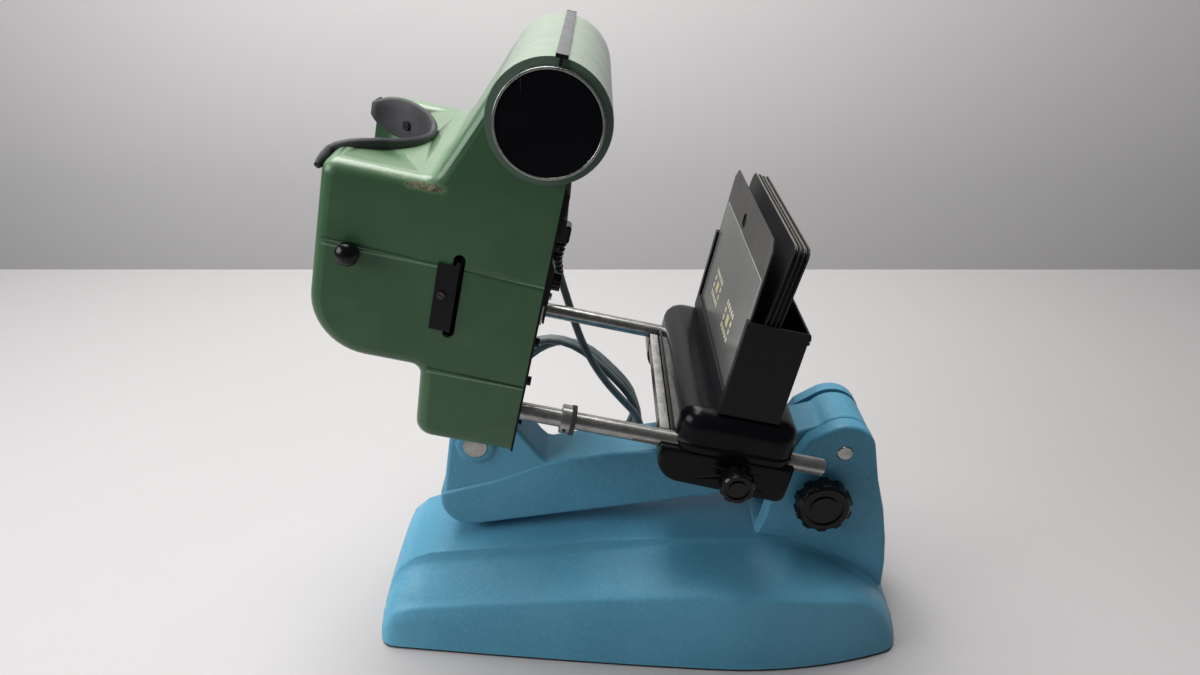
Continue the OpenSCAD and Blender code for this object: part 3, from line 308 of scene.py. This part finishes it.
def black_plastic():
    m = Mat("black_phenolic", rough=0.16, colour=rgb(12, 12, 16), Coat_Weight=0.1, Coat_Roughness=0.06,
            Specular_IOR_Level=0.2)
    col = m.blotch(m.noise(300, 4, 0.7), 0.60, 0.84, 0.3, rgb(9, 9, 12), rgb(36, 36, 40))
    m.colour(col).rough(m.noise(140, 4), 0.10, 0.34)
    m.bump((m.noise(520, 3), 0.08, 0.0001))
    return m.m


def disc_black():
    m = Mat("black_disc", rough=0.30, colour=rgb(14, 15, 22), Specular_IOR_Level=0.08)
    col = m.blotch(m.noise(30, 4, 0.6), 0.45, 0.8, 0.35, rgb(9, 10, 15), rgb(18, 19, 25))
    col = m.blotch(m.noise(620, 3, 0.75), 0.66, 0.78, 0.3, col, rgb(66, 68, 74))
    col = m.blotch(m.noise(240, 2, 0.5, (1, 1, 0.04)), 0.70, 0.74, 0.25, col, rgb(110, 112, 118))
    m.colour(col).rough(m.noise(60, 4), 0.22, 0.45)
    return m.m


def rubber():
    m = Mat("black_rubber", rough=0.62, colour=rgb(38, 38, 42))
    col = m.blotch(m.noise(40, 4, 0.6), 0.35, 0.8, 0.7, rgb(34, 34, 38), rgb(62, 62, 68))
    m.colour(col).rough(m.noise(90, 3), 0.50, 0.75)
    m.bump((m.noise(1100, 2, 0.7), 0.25, 0.00008), (m.noise(60, 3), 0.15, 0.0006))
    return m.m


def steel(name, base, pits, grain):
    """Brushed steel: its sRGB colour, how dark its pits are, and the stretch of its brushing."""
    dull = [int(c * 0.8) for c in base]
    m = Mat(name, rough=0.30, metal=1.0, colour=rgb(*base))
    brush = m.noise(1500, 3, 0.6, grain)
    patch = m.noise(70, 5, 0.7)
    col = m.blotch(patch, 0.4, 0.7, 1.0, rgb(*base), rgb(*dull))
    if pits:
        pit = m.ramp(m.math("ADD", m.noise(620, 4, 0.7), m.times(patch, 0.35)), 0.80, 0.88, 0.0, pits)
        col = m.mix(pit, col, rgb(44, 38, 34))
        m.metal(m.math("SUBTRACT", 1.0, m.times(pit, 0.7)))
    m.colour(col).rough(brush, 0.18, 0.42)
    m.bump((brush, 0.10, 0.00004), (patch, 0.10, 0.0002))
    return m.m


def chrome():
    m = Mat("polished_rim", rough=0.18, metal=1.0, colour=rgb(176, 178, 176))
    m.colour(m.blotch(m.noise(300, 4, 0.7), 0.5, 0.7, 0.6, rgb(178, 180, 178), rgb(92, 92, 88)))
    m.rough(m.noise(200, 3), 0.14, 0.36)
    return m.m


def strip_grey():
    m = Mat("grey_trim", rough=0.42, colour=rgb(132, 132, 138))
    m.colour(m.blotch(m.noise(90, 4, 0.7), 0.4, 0.75, 0.5, rgb(72, 73, 76), rgb(58, 59, 62)))
    m.rough(m.noise(120, 3), 0.32, 0.55)
    m.bump((m.noise(900, 2, 0.6, (1, 0.1, 1)), 0.1, 0.00005))
    return m.m


def bronze():
    m = Mat("dull_bronze", rough=0.38, metal=1.0, colour=rgb(150, 116, 70))
    m.colour(m.blotch(m.noise(160, 4, 0.7), 0.4, 0.7, 0.8, rgb(156, 122, 74), rgb(96, 74, 48)))
    m.bump((m.noise(1200, 2), 0.1, 0.00005))
    return m.m


def cast_grey():
    m = Mat("grey_casting", rough=0.6, colour=rgb(92, 94, 98))
    m.colour(m.blotch(m.noise(50, 4, 0.7), 0.4, 0.7, 0.7, rgb(96, 98, 102), rgb(64, 66, 70)))
    m.bump((m.noise(500, 3, 0.7), 0.4, 0.0003))
    return m.m


def white_metal():
    m = Mat("white_reflector", rough=0.3, colour=rgb(226, 226, 220))
    m.colour(m.blotch(m.noise(40, 4, 0.7), 0.5, 0.8, 0.4, rgb(228, 228, 222), rgb(196, 192, 176)))
    m.bump((m.noise(600, 2), 0.08, 0.0001))
    return m.m


GLASS_IOR = 1.52


def glass(name, tint, rough):
    m = Mat(name, rough=rough, colour=tint, Transmission_Weight=1.0, IOR=GLASS_IOR)
    m.colour(m.blotch(m.noise(120, 3), 0.5, 0.9, 0.3, tint, lin_mix(tint, (0.6, 0.6, 0.55, 1), 0.3)))
    return m.m


def card_black():
    """Black card. Each card's upper edge is painted lighter, a painted highlight of the light from above, in
    a grey of its own.
    """
    m = Mat("black_card", rough=0.55, colour=rgb(40, 39, 41), Specular_IOR_Level=0.2)
    fibre = m.noise(520, 4, 0.75)
    patch = m.noise(36, 4, 0.6)
    tone = m.n("NewGeometry").outputs["Random Per Island"]
    col = m.blotch(patch, 0.35, 0.75, 1.0, rgb(24, 24, 27), rgb(35, 34, 37))
    # painted highlight: the edges that face up get a lighter grey, one per card
    top = m.blotch(tone, 0.0, 1.0, 1.0, rgb(56, 54, 52), rgb(112, 109, 103))
    top = m.blotch(fibre, 0.4, 0.7, 0.5, top, rgb(56, 53, 50))
    col = m.mix(m.facing(HEAD_UP, 0.5, 0.8), col, top)
    col = m.blotch(fibre, 0.58, 0.78, 0.25, col, rgb(78, 76, 76))
    m.colour(col).rough(patch, 0.40, 0.62)
    m.bump((fibre, 0.15, 0.00006))
    return m.m


# The front card's grey panel, in mm of the head's frame
PANEL_FOOT, PANEL_TOP, PANEL_HALF = 108, 210.7, 85.2
PANEL_RIM = 0.7
# Its two clusters, one for each eye: a ring of small squares, 5 by 4, round one plain square
CLUSTER_Y, CLUSTER_Z, CLUSTER_PITCH = -44, 141, 63
MARKS_Y = (-44.5, 80)
CELLS_Y, CELLS_Z = 5, 4
CELL_Y, CELL_Z = 6.6, 6.2
# From where to where a square fills its cell, and where the plain square lies in its cluster
FILLED = (0.16, 0.80)
MIDDLE_Y, MIDDLE_Z = (12.0, 20.4), (8.2, 16.6)


def test_card():
    """A black card with a grey glossy panel and two plain clusters of pale squares."""
    m = Mat("test_card", rough=0.5, colour=rgb(84, 83, 82), Specular_IOR_Level=0.3)
    fibre = m.noise(520, 4, 0.75)
    patch = m.noise(36, 4, 0.6)
    front = m.facing(HEAD_FRONT, 0.6, 0.9)
    y = m.along((0, 0, 0), (0, 1000, 0))
    z = m.along(head(0, 0, 0), [1000 * c for c in HEAD_UP])
    board = m.blotch(patch, 0.35, 0.75, 1.0, rgb(62, 61, 60), rgb(74, 73, 71))
    board = m.blotch(fibre, 0.52, 0.75, 0.4, board, rgb(90, 87, 84))
    board = m.mix(m.facing(HEAD_FRONT, 0.9, 0.6), board, rgb(34, 33, 34))
    half, top = PANEL_HALF - PANEL_RIM, PANEL_TOP - PANEL_RIM
    panel = m.every(front, m.inside(z, PANEL_FOOT, PANEL_TOP), m.inside(y, -PANEL_HALF, PANEL_HALF))
    inner = m.every(front, m.inside(z, PANEL_FOOT, top), m.inside(y, -half, half))
    grey = m.blotch(m.noise(14, 3), 0.35, 0.7, 1.0, rgb(80, 84, 81), rgb(92, 95, 91))
    # u runs across each cluster from its first square, and v up
    turn = m.math("FRACT", m.math("DIVIDE", m.math("SUBTRACT", y, CLUSTER_Y), CLUSTER_PITCH))
    u = m.times(turn, CLUSTER_PITCH)
    v = m.math("SUBTRACT", z, CLUSTER_Z)
    cell_u = m.inside(m.math("FRACT", m.math("DIVIDE", u, CELL_Y)), *FILLED)
    cell_v = m.inside(m.math("FRACT", m.math("DIVIDE", v, CELL_Z)), *FILLED)
    hole = m.every(m.inside(u, CELL_Y, (CELLS_Y - 1) * CELL_Y), m.inside(v, CELL_Z, (CELLS_Z - 1) * CELL_Z))
    ring = m.every(cell_u, cell_v, m.inside(u, 0.0, CELLS_Y * CELL_Y), m.inside(v, 0.0, CELLS_Z * CELL_Z),
                   m.math("SUBTRACT", 1.0, hole))
    middle = m.every(m.inside(u, *MIDDLE_Y), m.inside(v, *MIDDLE_Z))
    marks = m.every(m.inside(y, *MARKS_Y), m.math("MAXIMUM", ring, middle))
    grey = m.mix(marks, grey, m.mix(middle, rgb(214, 208, 174), rgb(206, 194, 134)))
    col = m.mix(panel, board, rgb(168, 172, 164))
    col = m.mix(inner, col, grey)
    m.colour(col).rough(m.math("SUBTRACT", 0.9, m.times(inner, 0.7)), 0.14, 0.62)
    m.bump((m.times(fibre, m.math("SUBTRACT", 1.0, inner)), 0.10, 0.00005))
    return m.m


def cord_mat():
    m = Mat("grey_green_cord", rough=0.48, colour=rgb(70, 84, 88))
    col = m.blotch(m.noise(60, 4, 0.6), 0.35, 0.7, 1.0, rgb(74, 84, 86), rgb(98, 108, 108))
    m.colour(col).rough(m.noise(200, 3), 0.40, 0.62)
    m.bump((m.noise(700, 3, 0.6), 0.2, 0.00012))
    return m.m


ROD_GRAIN = (0.06, 1, 1)
MATS = {
    "blue_paint": blue_paint(),
    "green_paint": green_paint("green_enamel", rgb(62, 96, 65), rgb(80, 116, 80), rgb(52, 85, 56), 0.34),
    "black_paint": black_paint(), "black_plate": black_plate(), "black_plastic": black_plastic(),
    "rubber": rubber(), "steel": steel("worn_steel", (172, 171, 168), 0.8, ROD_GRAIN),
    "chrome": chrome(), "grey_strip": strip_grey(), "bronze": bronze(),
    "grey_frame": cast_grey(), "white_metal": white_metal(),
    "lens_glass": glass("lens_glass", (0.86, 0.93, 0.92, 1), 0.02),
    "bulb_glass": glass("bulb_glass", (0.95, 0.93, 0.86, 1), 0.35),
    "card": card_black(), "cord": cord_mat(),
}
# Pieces whose look differs from the rest of their slot's
OWN_MAT = {
    # the hood is the same enamel as the casing; its paler colours and stronger paling are a painted highlight
    # of the light above on its gloss
    "lamp_hood": green_paint("green_hood_painted_sheen", rgb(84, 104, 90), rgb(98, 119, 103), rgb(76, 97, 84), 0.40),
    "front_bar": steel("bright_steel", (214, 214, 210), 0.0, (1, 0.06, 1)),
    "slide_screw_near": steel("dark_steel", (84, 82, 78), 0.8, ROD_GRAIN),
    "end_caps": disc_black(),
    "front_card": test_card(),
}
OWN_MAT["slide_screw_far"] = OWN_MAT["slide_screw_near"]

# Which finish each node has
FINISH = {
    "blue_paint": ["base_casting", "arm_casting"],
    "green_paint": ["head_casing", "lamp_hood"],
    "black_paint": ["carriage_cover", "carriage_body"],
    "black_plate": ["back_plate", "plate_screws", "brow_screws", "septum", "near_occluder", "far_occluder",
                    "near_lens_slide", "far_lens_slide", "strip_clips", "back_bracket", "latch_plates",
                    "card_box", "spring_screws"],
    "black_plastic": ["arm_clamp_knob", "lens_cells", "near_occluder_knob", "far_occluder_knob", "end_caps",
                      "lamp_sockets", "bracket_nut", "cord_clamp", "carriage_clamp_knob", "plug"],
    "rubber": ["base_pad", "brow_rest", "collar_washer"],
    "steel": ["arm_pin", "clamp_stud", "clamp_nut", "tilt_pin", "slide_screw_near", "slide_screw_far",
              "pointer", "near_rod", "far_rod", "stop_collar", "carriage_screws", "front_bar",
              "carriage_clamp_stud", "card_spring", "plug_pins"],
    "chrome": ["cap_rims"], "grey_strip": ["seam_strip"],
    "bronze": ["hub_bush", "pivot_washers", "rod_bushes"],
    "grey_frame": ["head_frame"], "white_metal": ["reflector"],
    "lens_glass": ["lenses"], "bulb_glass": ["lamp_bulbs"],
    "card": ["front_card", "card_pack"], "cord": ["cord", "cord_coil"],
}
SLOT_OF = {n: s for s, names in FINISH.items() for n in names}
BODY_OF = {n: b for b, names in frame["record"]["behaviour"]["bodies"].items() for n in names}
for name, obj in NODES.items():
    obj.data.materials.clear()
    obj.data.materials.append(MATS[SLOT_OF[name]])


# Mesh helpers
def link(obj):
    SCENE.collection.objects.link(obj)
    return obj


def smooth(mesh):
    mesh.polygons.foreach_set("use_smooth", [True] * len(mesh.polygons))


def mesh_object(name, verts, faces, mat):
    me = bpy.data.meshes.new(name)
    me.from_pydata([tuple(v) for v in verts], [], faces)
    me.materials.append(mat)
    return link(bpy.data.objects.new(name, me))


def tube_faces(rings, sides):
    """The faces of a closed tube whose vertices lie ring after ring."""
    faces = []
    for i in range(rings - 1):
        for k in range(sides):
            j = (k + 1) % sides
            faces.append((i * sides + k, i * sides + j, (i + 1) * sides + j, (i + 1) * sides + k))
    faces.append(tuple(range(sides - 1, -1, -1)))
    faces.append(tuple((rings - 1) * sides + k for k in range(sides)))
    return faces


# Mains cord: the lead's points and the coil's form are part.scad's, in mm
CORD_D = 0.007
LEAD = [(-64, 84, 299), (-66, 84, 291), (-68, 87, 281), (-67, 95, 268), (-64, 101, 252), (-59, 104, 232),
        (-53, 105, 210), (-46, 105, 190), (-36, 106, 168), (-24, 106, 149), (-11, 107, 132), (2, 107, 116),
        (7, 107, 104)]
LEAD_STEPS = 5
COIL_X, COIL_Y, COIL_Z = -82, 107.5, 96
COIL_RX, COIL_UP, COIL_DOWN = 90, 98, 92
COIL_PITCH = 8.2
COIL_TURNS = 4.25
COIL_STEPS = 48
# By how much each turn shrinks, wavers and is drawn in at its diagonals, and how its middle drifts with it
SHRINK, WAVER, WAVER_DEG, DRAWN_IN = 0.062, 0.028, 250, 0.1
DRIFT_X, DRIFT_Z = 0.8, 0.3
TAIL_TURN, TAIL_OUT = 0.35, 100


def catmull(points, steps):
    out = []
    for i in range(len(points) - 1):
        a, b = points[max(i - 1, 0)], points[i]
        c, e = points[i + 1], points[min(i + 2, len(points) - 1)]
        for k in range(steps):
            t = k / steps
            out.append(0.5 * (2 * b + (c - a) * t + (2 * a - 5 * b + 4 * c - e) * t * t
                              + (3 * b - a - 3 * c + e) * t ** 3))
    return out + [points[-1]]


def coil_point(t):
    """A point of the coil after t turns. The turns get smaller and waver, and the end bends outwards."""
    a = -2 * math.pi * t
    s = 1 - SHRINK * t + WAVER * math.sin(math.radians(WAVER_DEG * t))
    f = 1 - DRAWN_IN * math.sin(2 * a) ** 2
    up = f if math.sin(a) > 0 else COIL_DOWN / COIL_UP
    tail = max(0, t - COIL_TURNS + TAIL_TURN)
    return (COIL_X + COIL_RX * (DRIFT_X * (1 - s) + s * f * math.cos(a)),
            COIL_Y + COIL_PITCH * t + TAIL_OUT * tail ** 2,
            COIL_Z + COIL_UP * (DRIFT_Z * (1 - s) + up * s * math.sin(a)))


turns = [min(k / COIL_STEPS, COIL_TURNS) for k in range(round(COIL_STEPS * COIL_TURNS) + 1)]
coil = [Vector(coil_point(t)) / 1000 for t in turns]
lead = catmull([Vector(p) / 1000 for p in LEAD] + [coil[0]], LEAD_STEPS)
route = lead[:-1] + coil
curve = bpy.data.curves.new("mains_cord", "CURVE")
curve.dimensions = "3D"
curve.bevel_depth = CORD_D / 2
curve.bevel_resolution = 4
curve.use_fill_caps = True
spline = curve.splines.new("POLY")
spline.points.add(len(route) - 1)
for p, q in zip(spline.points, route):
    p.co = (*q, 1)
curve.materials.append(MATS["cord"])
mains_cord = link(bpy.data.objects.new("mains_cord", curve))
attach(mains_cord, "head")
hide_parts("cord", "cord_coil")

# The strain relief: a tapered ribbed sleeve on the lead below its clamp
SLEEVE_LEN = 0.038
SLEEVE_R, SLEEVE_TIP_R = 0.0058, 0.0040
RIBS, RIB_H = 7, 0.0005
PLAIN_END = 0.05
COVERED_POINTS, SLEEVE_STEPS = 22, 6
ACROSS = Vector((0.05, 1, 0.02))


def sleeve(name, path, radii, mat, sides=24):
    """A round tube along a path, with its own radius at each point."""
    verts = []
    for i, p in enumerate(path):
        d = (path[min(i + 1, len(path) - 1)] - path[max(i - 1, 0)]).normalized()
        u = d.cross(ACROSS.cross(d)).normalized()
        v = d.cross(u)
        for k in range(sides):
            a = 2 * math.pi * k / sides
            verts.append(p + (u * math.cos(a) + v * math.sin(a)) * radii[i])
    return mesh_object(name, verts, tube_faces(len(path), sides), mat)


def sleeve_radius(t):
    rib = RIB_H * math.cos(2 * math.pi * RIBS * t) if PLAIN_END < t < 1 - PLAIN_END else 0
    return SLEEVE_R - (SLEEVE_R - SLEEVE_TIP_R) * t + rib


fine_lead = catmull(lead[:COVERED_POINTS], SLEEVE_STEPS)
covered, sleeve_path = 0.0, [fine_lead[0]]
for a, b in zip(fine_lead, fine_lead[1:]):
    covered += (b - a).length
    sleeve_path.append(b)
    if covered > SLEEVE_LEN:
        break
radii = [sleeve_radius(i / (len(sleeve_path) - 1)) for i in range(len(sleeve_path))]
cord_relief = sleeve("cord_relief", sleeve_path, radii, MATS["black_plastic"])
smooth(cord_relief.data)
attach(cord_relief, "head")

# Dressed copies of the CAD nodes
MERGE = 3e-6
FLAT = math.radians(0.4)
BEVEL_FROM = math.radians(40)
FOLD_DOT, FOLD_AREA = -0.97, 1e-7


def folded(edge):
    """Whether a flat face folds back over its neighbour here, as the tessellation does at a hollow corner."""
    if len(edge.link_faces) != 2:
        return False
    f, g = edge.link_faces
    return f.normal.dot(g.normal) < FOLD_DOT and min(f.calc_area(), g.calc_area()) > FOLD_AREA


def dress(name, bevel=0.0, segments=2, sharp=36, join=True):
    """A copy of a CAD node with its flat triangles joined, its edges rounded and its curves smooth."""
    bm = bmesh.new()
    bm.from_mesh(NODES[name].data)
    bmesh.ops.remove_doubles(bm, verts=bm.verts, dist=MERGE)
    bmesh.ops.dissolve_edges(bm, edges=[e for e in bm.edges if folded(e)], use_verts=False)
    bmesh.ops.triangulate(bm, faces=[f for f in bm.faces if len(f.verts) > 3], ngon_method="EAR_CLIP")
    if join:
        bmesh.ops.dissolve_limit(bm, angle_limit=FLAT, verts=bm.verts, edges=bm.edges)
    bmesh.ops.recalc_face_normals(bm, faces=bm.faces)
    if bevel:
        edges = [e for e in bm.edges if len(e.link_faces) == 2 and e.calc_face_angle(0) > BEVEL_FROM]
        bmesh.ops.bevel(bm, geom=edges, offset=bevel, offset_type="OFFSET", segments=segments, profile=0.5,
                        affect="EDGES", clamp_overlap=True)
    me = bpy.data.meshes.new(name + "_shell")
    bmesh.ops.triangulate(bm, faces=[f for f in bm.faces if len(f.verts) > 4])
    bm.to_mesh(me)
    bm.free()
    smooth(me)
    me.set_sharp_from_angle(angle=math.radians(sharp))
    me.materials.append(OWN_MAT.get(name) or MATS[SLOT_OF[name]])
    obj = link(bpy.data.objects.new(name + "_shell", me))
    w = obj.modifiers.new("weighted", "WEIGHTED_NORMAL")
    w.keep_sharp = True
    w.weight = 100
    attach(obj, BODY_OF[name])
    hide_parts(name)


dress("base_casting", sharp=20, join=False)
dress("head_casing", sharp=24)
dress("arm_casting", sharp=30, join=False)
dress("front_card", 0.0002, segments=1)
# How far each other piece's edges are rounded, in metres
ROUNDED = {
    0.0: ["carriage_cover", "carriage_body", "base_pad", "cord_clamp", "reflector"],
    0.0002: ["brow_screws", "plate_screws", "spring_screws", "carriage_screws", "lamp_hood",
             "slide_screw_near", "slide_screw_far"],
    0.0003: ["seam_strip", "strip_clips", "back_bracket", "cap_rims", "collar_washer", "near_rod",
             "bracket_nut"],
    0.0004: ["back_plate", "near_lens_slide", "far_lens_slide", "stop_collar", "end_caps"],
    0.0005: ["card_box", "latch_plates"],
    0.0006: ["near_occluder_knob", "far_occluder_knob", "front_bar"],
    0.0007: ["carriage_clamp_knob", "arm_clamp_knob"],
    0.0008: ["head_frame", "far_rod", "tilt_pin", "plug"],
    0.0010: ["arm_pin"],
}
for radius, names in ROUNDED.items():
    for name in names:
        dress(name, radius)

# The rubber brow rest, in mm of the head's frame. In plan it is half an ellipse inside the face opening,
# which then turns round the lip to a wing on each side. Along it, 0 is the middle and 1 a wing's tip.
BAND_END, WING_START, THIN_FROM = 0.74, 0.82, 0.9
FRONT_X, LIP_R = -123, 2.7
BAND_RX, BAND_RY = 52.4, 65.4
WING_LEN = 27
BAND_HALF, TIP_THINNING = 2.25, 1.0
BAND_STEPS = 160
# The band's lower and upper edge, z in the head's frame, along it
BAND_EDGES = [(0.0, 221, 240), (0.3, 214, 242), (0.5, 211, 243), (0.60, 212, 242), (0.66, 213.8, 240.6),
              (0.70, 216, 238.8), (0.74, 219, 236.6), (0.78, 221.5, 235), (0.82, 222.5, 234.5),
              (0.90, 223.5, 234), (0.96, 225, 233), (1.0, 228, 231)]
# A rounded edge of the band's section: across, and up from where the rounding starts
BAND_RING = [(-1, 0.0), (-0.86, 0.35), (-0.5, 0.75), (0, 1.0), (0.5, 0.75), (0.86, 0.35), (1, 0.0)]


def brow_section(t):
    """The rest's middle line in plan, its outward side, its lowest and highest z, and its half thickness,
    from the far wing's tip (t = -1) to the near wing's (t = 1)."""
    side, u = (1 if t < 0 else -1), abs(t)
    if u < BAND_END:
        a = math.radians(90 * u / BAND_END)
        p = Vector((FRONT_X + BAND_RX * math.cos(a), BAND_RY * math.sin(a)))
        n = Vector((math.cos(a) / BAND_RX, math.sin(a) / BAND_RY)).normalized()
    elif u < WING_START:
        a = math.radians(90 * (u - BAND_END) / (WING_START - BAND_END))
        p = Vector((FRONT_X - LIP_R * math.sin(a), BAND_RY + LIP_R * (1 - math.cos(a))))
        n = Vector((math.sin(a), math.cos(a)))
    else:
        out = WING_LEN * (u - WING_START) / (1 - WING_START)
        p = Vector((FRONT_X - LIP_R, BAND_RY + LIP_R + out))
        n = Vector((1, 0))
    at, lows, highs = zip(*BAND_EDGES)
    half = BAND_HALF - TIP_THINNING * max(0, u - THIN_FROM) / (1 - THIN_FROM)
    return (Vector((p.x, side * p.y)), Vector((n.x, side * n.y)),
            float(np.interp(u, at, lows)), float(np.interp(u, at, highs)), half)


def brow_rest():
    verts = []
    for i in range(BAND_STEPS + 1):
        p, n, low, high, half = brow_section(-1 + 2 * i / BAND_STEPS)
        r = min(half, (high - low) / 2)
        wall = high - low - 2 * r
        section = [(half * a, high - r + r * b) for a, b in BAND_RING]
        section += [(half, high - r - wall * k / 4) for k in (1, 2, 3)]
        section += [(half * a, low + r - r * b) for a, b in reversed(BAND_RING)]
        section += [(-half, low + r + wall * k / 4) for k in (1, 2, 3)]
        for off, z in section:
            verts.append(head(p.x + n.x * off, p.y + n.y * off, z))
    obj = mesh_object("brow_rest_shell", verts, tube_faces(BAND_STEPS + 1, len(section)), MATS["rubber"])
    smooth(obj.data)
    obj.data.set_sharp_from_angle(angle=math.radians(50))
    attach(obj, "head")
    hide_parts("brow_rest")


brow_rest()

# The pack's seven cards, in mm, each slightly out of line
CARD_T, CARD_H, CARD_HALF, CARD_CORNER = 1.12, 126, 89, 7
CARD_PITCH, FIRST_CARD = 1.6, 0.05
CARD_EDGE = 0.22
CORNER_ANGLES = (0.39, 0.79, 1.18)
PACK_LEAN = math.radians(3.5)
PACK_X, PACK_Z = 171.7, 113.2
# How far each card is shifted up and across
SHIFTS = [(0.0, 0.0), (-0.9, 0.7), (0.2, -0.6), (-1.3, 0.4), (-0.4, -0.3), (-1.0, 0.8), (0.1, -0.5)]


def card_outline():
    """The outline of a card with two rounded upper corners, as (y, z)."""
    flat, shoulder = CARD_HALF - CARD_CORNER, CARD_H - CARD_CORNER
    arc = [(CARD_CORNER * math.cos(a), CARD_CORNER * math.sin(a)) for a in CORNER_ANGLES]
    return ([(-CARD_HALF, 0), (CARD_HALF, 0), (CARD_HALF, shoulder)]
            + [(flat + c, shoulder + s) for c, s in arc]
            + [(flat, CARD_H), (-flat, CARD_H)]
            + [(-flat - s, shoulder + c) for c, s in arc]
            + [(-CARD_HALF, shoulder)])


def pack_point(x, y, z):
    """A point of the pack's own leaning frame in the row frame."""
    return head(PACK_X + x * math.cos(PACK_LEAN) + z * math.sin(PACK_LEAN), y,
                PACK_Z - x * math.sin(PACK_LEAN) + z * math.cos(PACK_LEAN))


def card_layer(bm, x, inset, up, across):
    """One outline of a card at the depth x, drawn in by inset."""
    layer = []
    for y, z in card_outline():
        drawn = z - (inset if z > 1 else 0) + up
        layer.append(bm.verts.new(pack_point(x, y * (1 - inset / CARD_HALF) + across, max(drawn, 0.0))))
    return layer


def card_pack():
    bm = bmesh.new()
    for k, (up, across) in enumerate(SHIFTS):
        x0 = k * CARD_PITCH + FIRST_CARD
        depths = ((0.0, CARD_EDGE), (CARD_EDGE, 0.0), (CARD_T - CARD_EDGE, 0.0), (CARD_T, CARD_EDGE))
        layers = [card_layer(bm, x0 + x, inset, up, across) for x, inset in depths]
        count = len(layers[0])
        for a, b in zip(layers, layers[1:]):
            for i in range(count):
                j = (i + 1) % count
                bm.faces.new((a[i], a[j], b[j], b[i]))
        bm.faces.new(layers[0][::-1])
        bm.faces.new(layers[-1])
    bmesh.ops.recalc_face_normals(bm, faces=bm.faces)
    me = bpy.data.meshes.new("card_pack_shell")
    bm.to_mesh(me)
    bm.free()
    me.materials.append(MATS["card"])
    obj = link(bpy.data.objects.new("card_pack_shell", me))
    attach(obj, "card_pack")
    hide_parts("card_pack")


card_pack()


# Floor, backdrop and light
def stage_mat(name, col):
    m = Mat(name, rough=0.6, colour=col)
    m.colour(m.blotch(m.noise(2.2, 3), 0.3, 0.7, 0.5, col, lin_mix(col, (0, 0, 0, 1), 0.04)))
    return m.m


def sheet(name, profile, half_width, mat):
    """A sheet swept across x from a profile of (y, z)."""
    verts = [(x, y, z) for y, z in profile for x in (-half_width, half_width)]
    faces = [(2 * i, 2 * i + 1, 2 * i + 3, 2 * i + 2) for i in range(len(profile) - 1)]
    obj = mesh_object(name, verts, faces, mat)
    smooth(obj.data)


TABLE_FRONT, TABLE_BACK = -3, 0.76
WALL_Y, WALL_LEAN = 1.25, 0.002
sheet("floor", [(TABLE_FRONT, 0), (TABLE_BACK, 0)], 3, stage_mat("white_table", rgb(168, 166, 167)))
sheet("backdrop", [(WALL_Y, -1.0), (WALL_Y + WALL_LEAN, 0.0), (WALL_Y + WALL_LEAN, 3)], 4,
      stage_mat("grey_wall", rgb(214, 211, 212)))

world = bpy.data.worlds.new("studio")
SCENE.world = world
world.use_nodes = True
world.node_tree.nodes["Background"].inputs["Color"].default_value = (0.95, 0.97, 1.0, 1)
world.node_tree.nodes["Background"].inputs["Strength"].default_value = 0.10


def area(name, loc, target, size, energy, colour):
    data = bpy.data.lights.new(name, "AREA")
    data.shape = "RECTANGLE"
    data.size, data.size_y = size
    data.energy = energy
    data.color = colour
    obj = link(bpy.data.objects.new(name, data))
    obj.location = loc
    obj.rotation_euler = (Vector(target) - Vector(loc)).to_track_quat("-Z", "Y").to_euler()


area("top_light", (-0.30, 0.30, 1.65), (0, 0.1, 0.1), (1.3, 1.1), 49, (1.0, 0.99, 0.97))
area("left_light", (-1.3, -0.5, 0.85), (0, 0, 0.15), (0.9, 0.7), 13.5, (0.97, 0.99, 1.0))
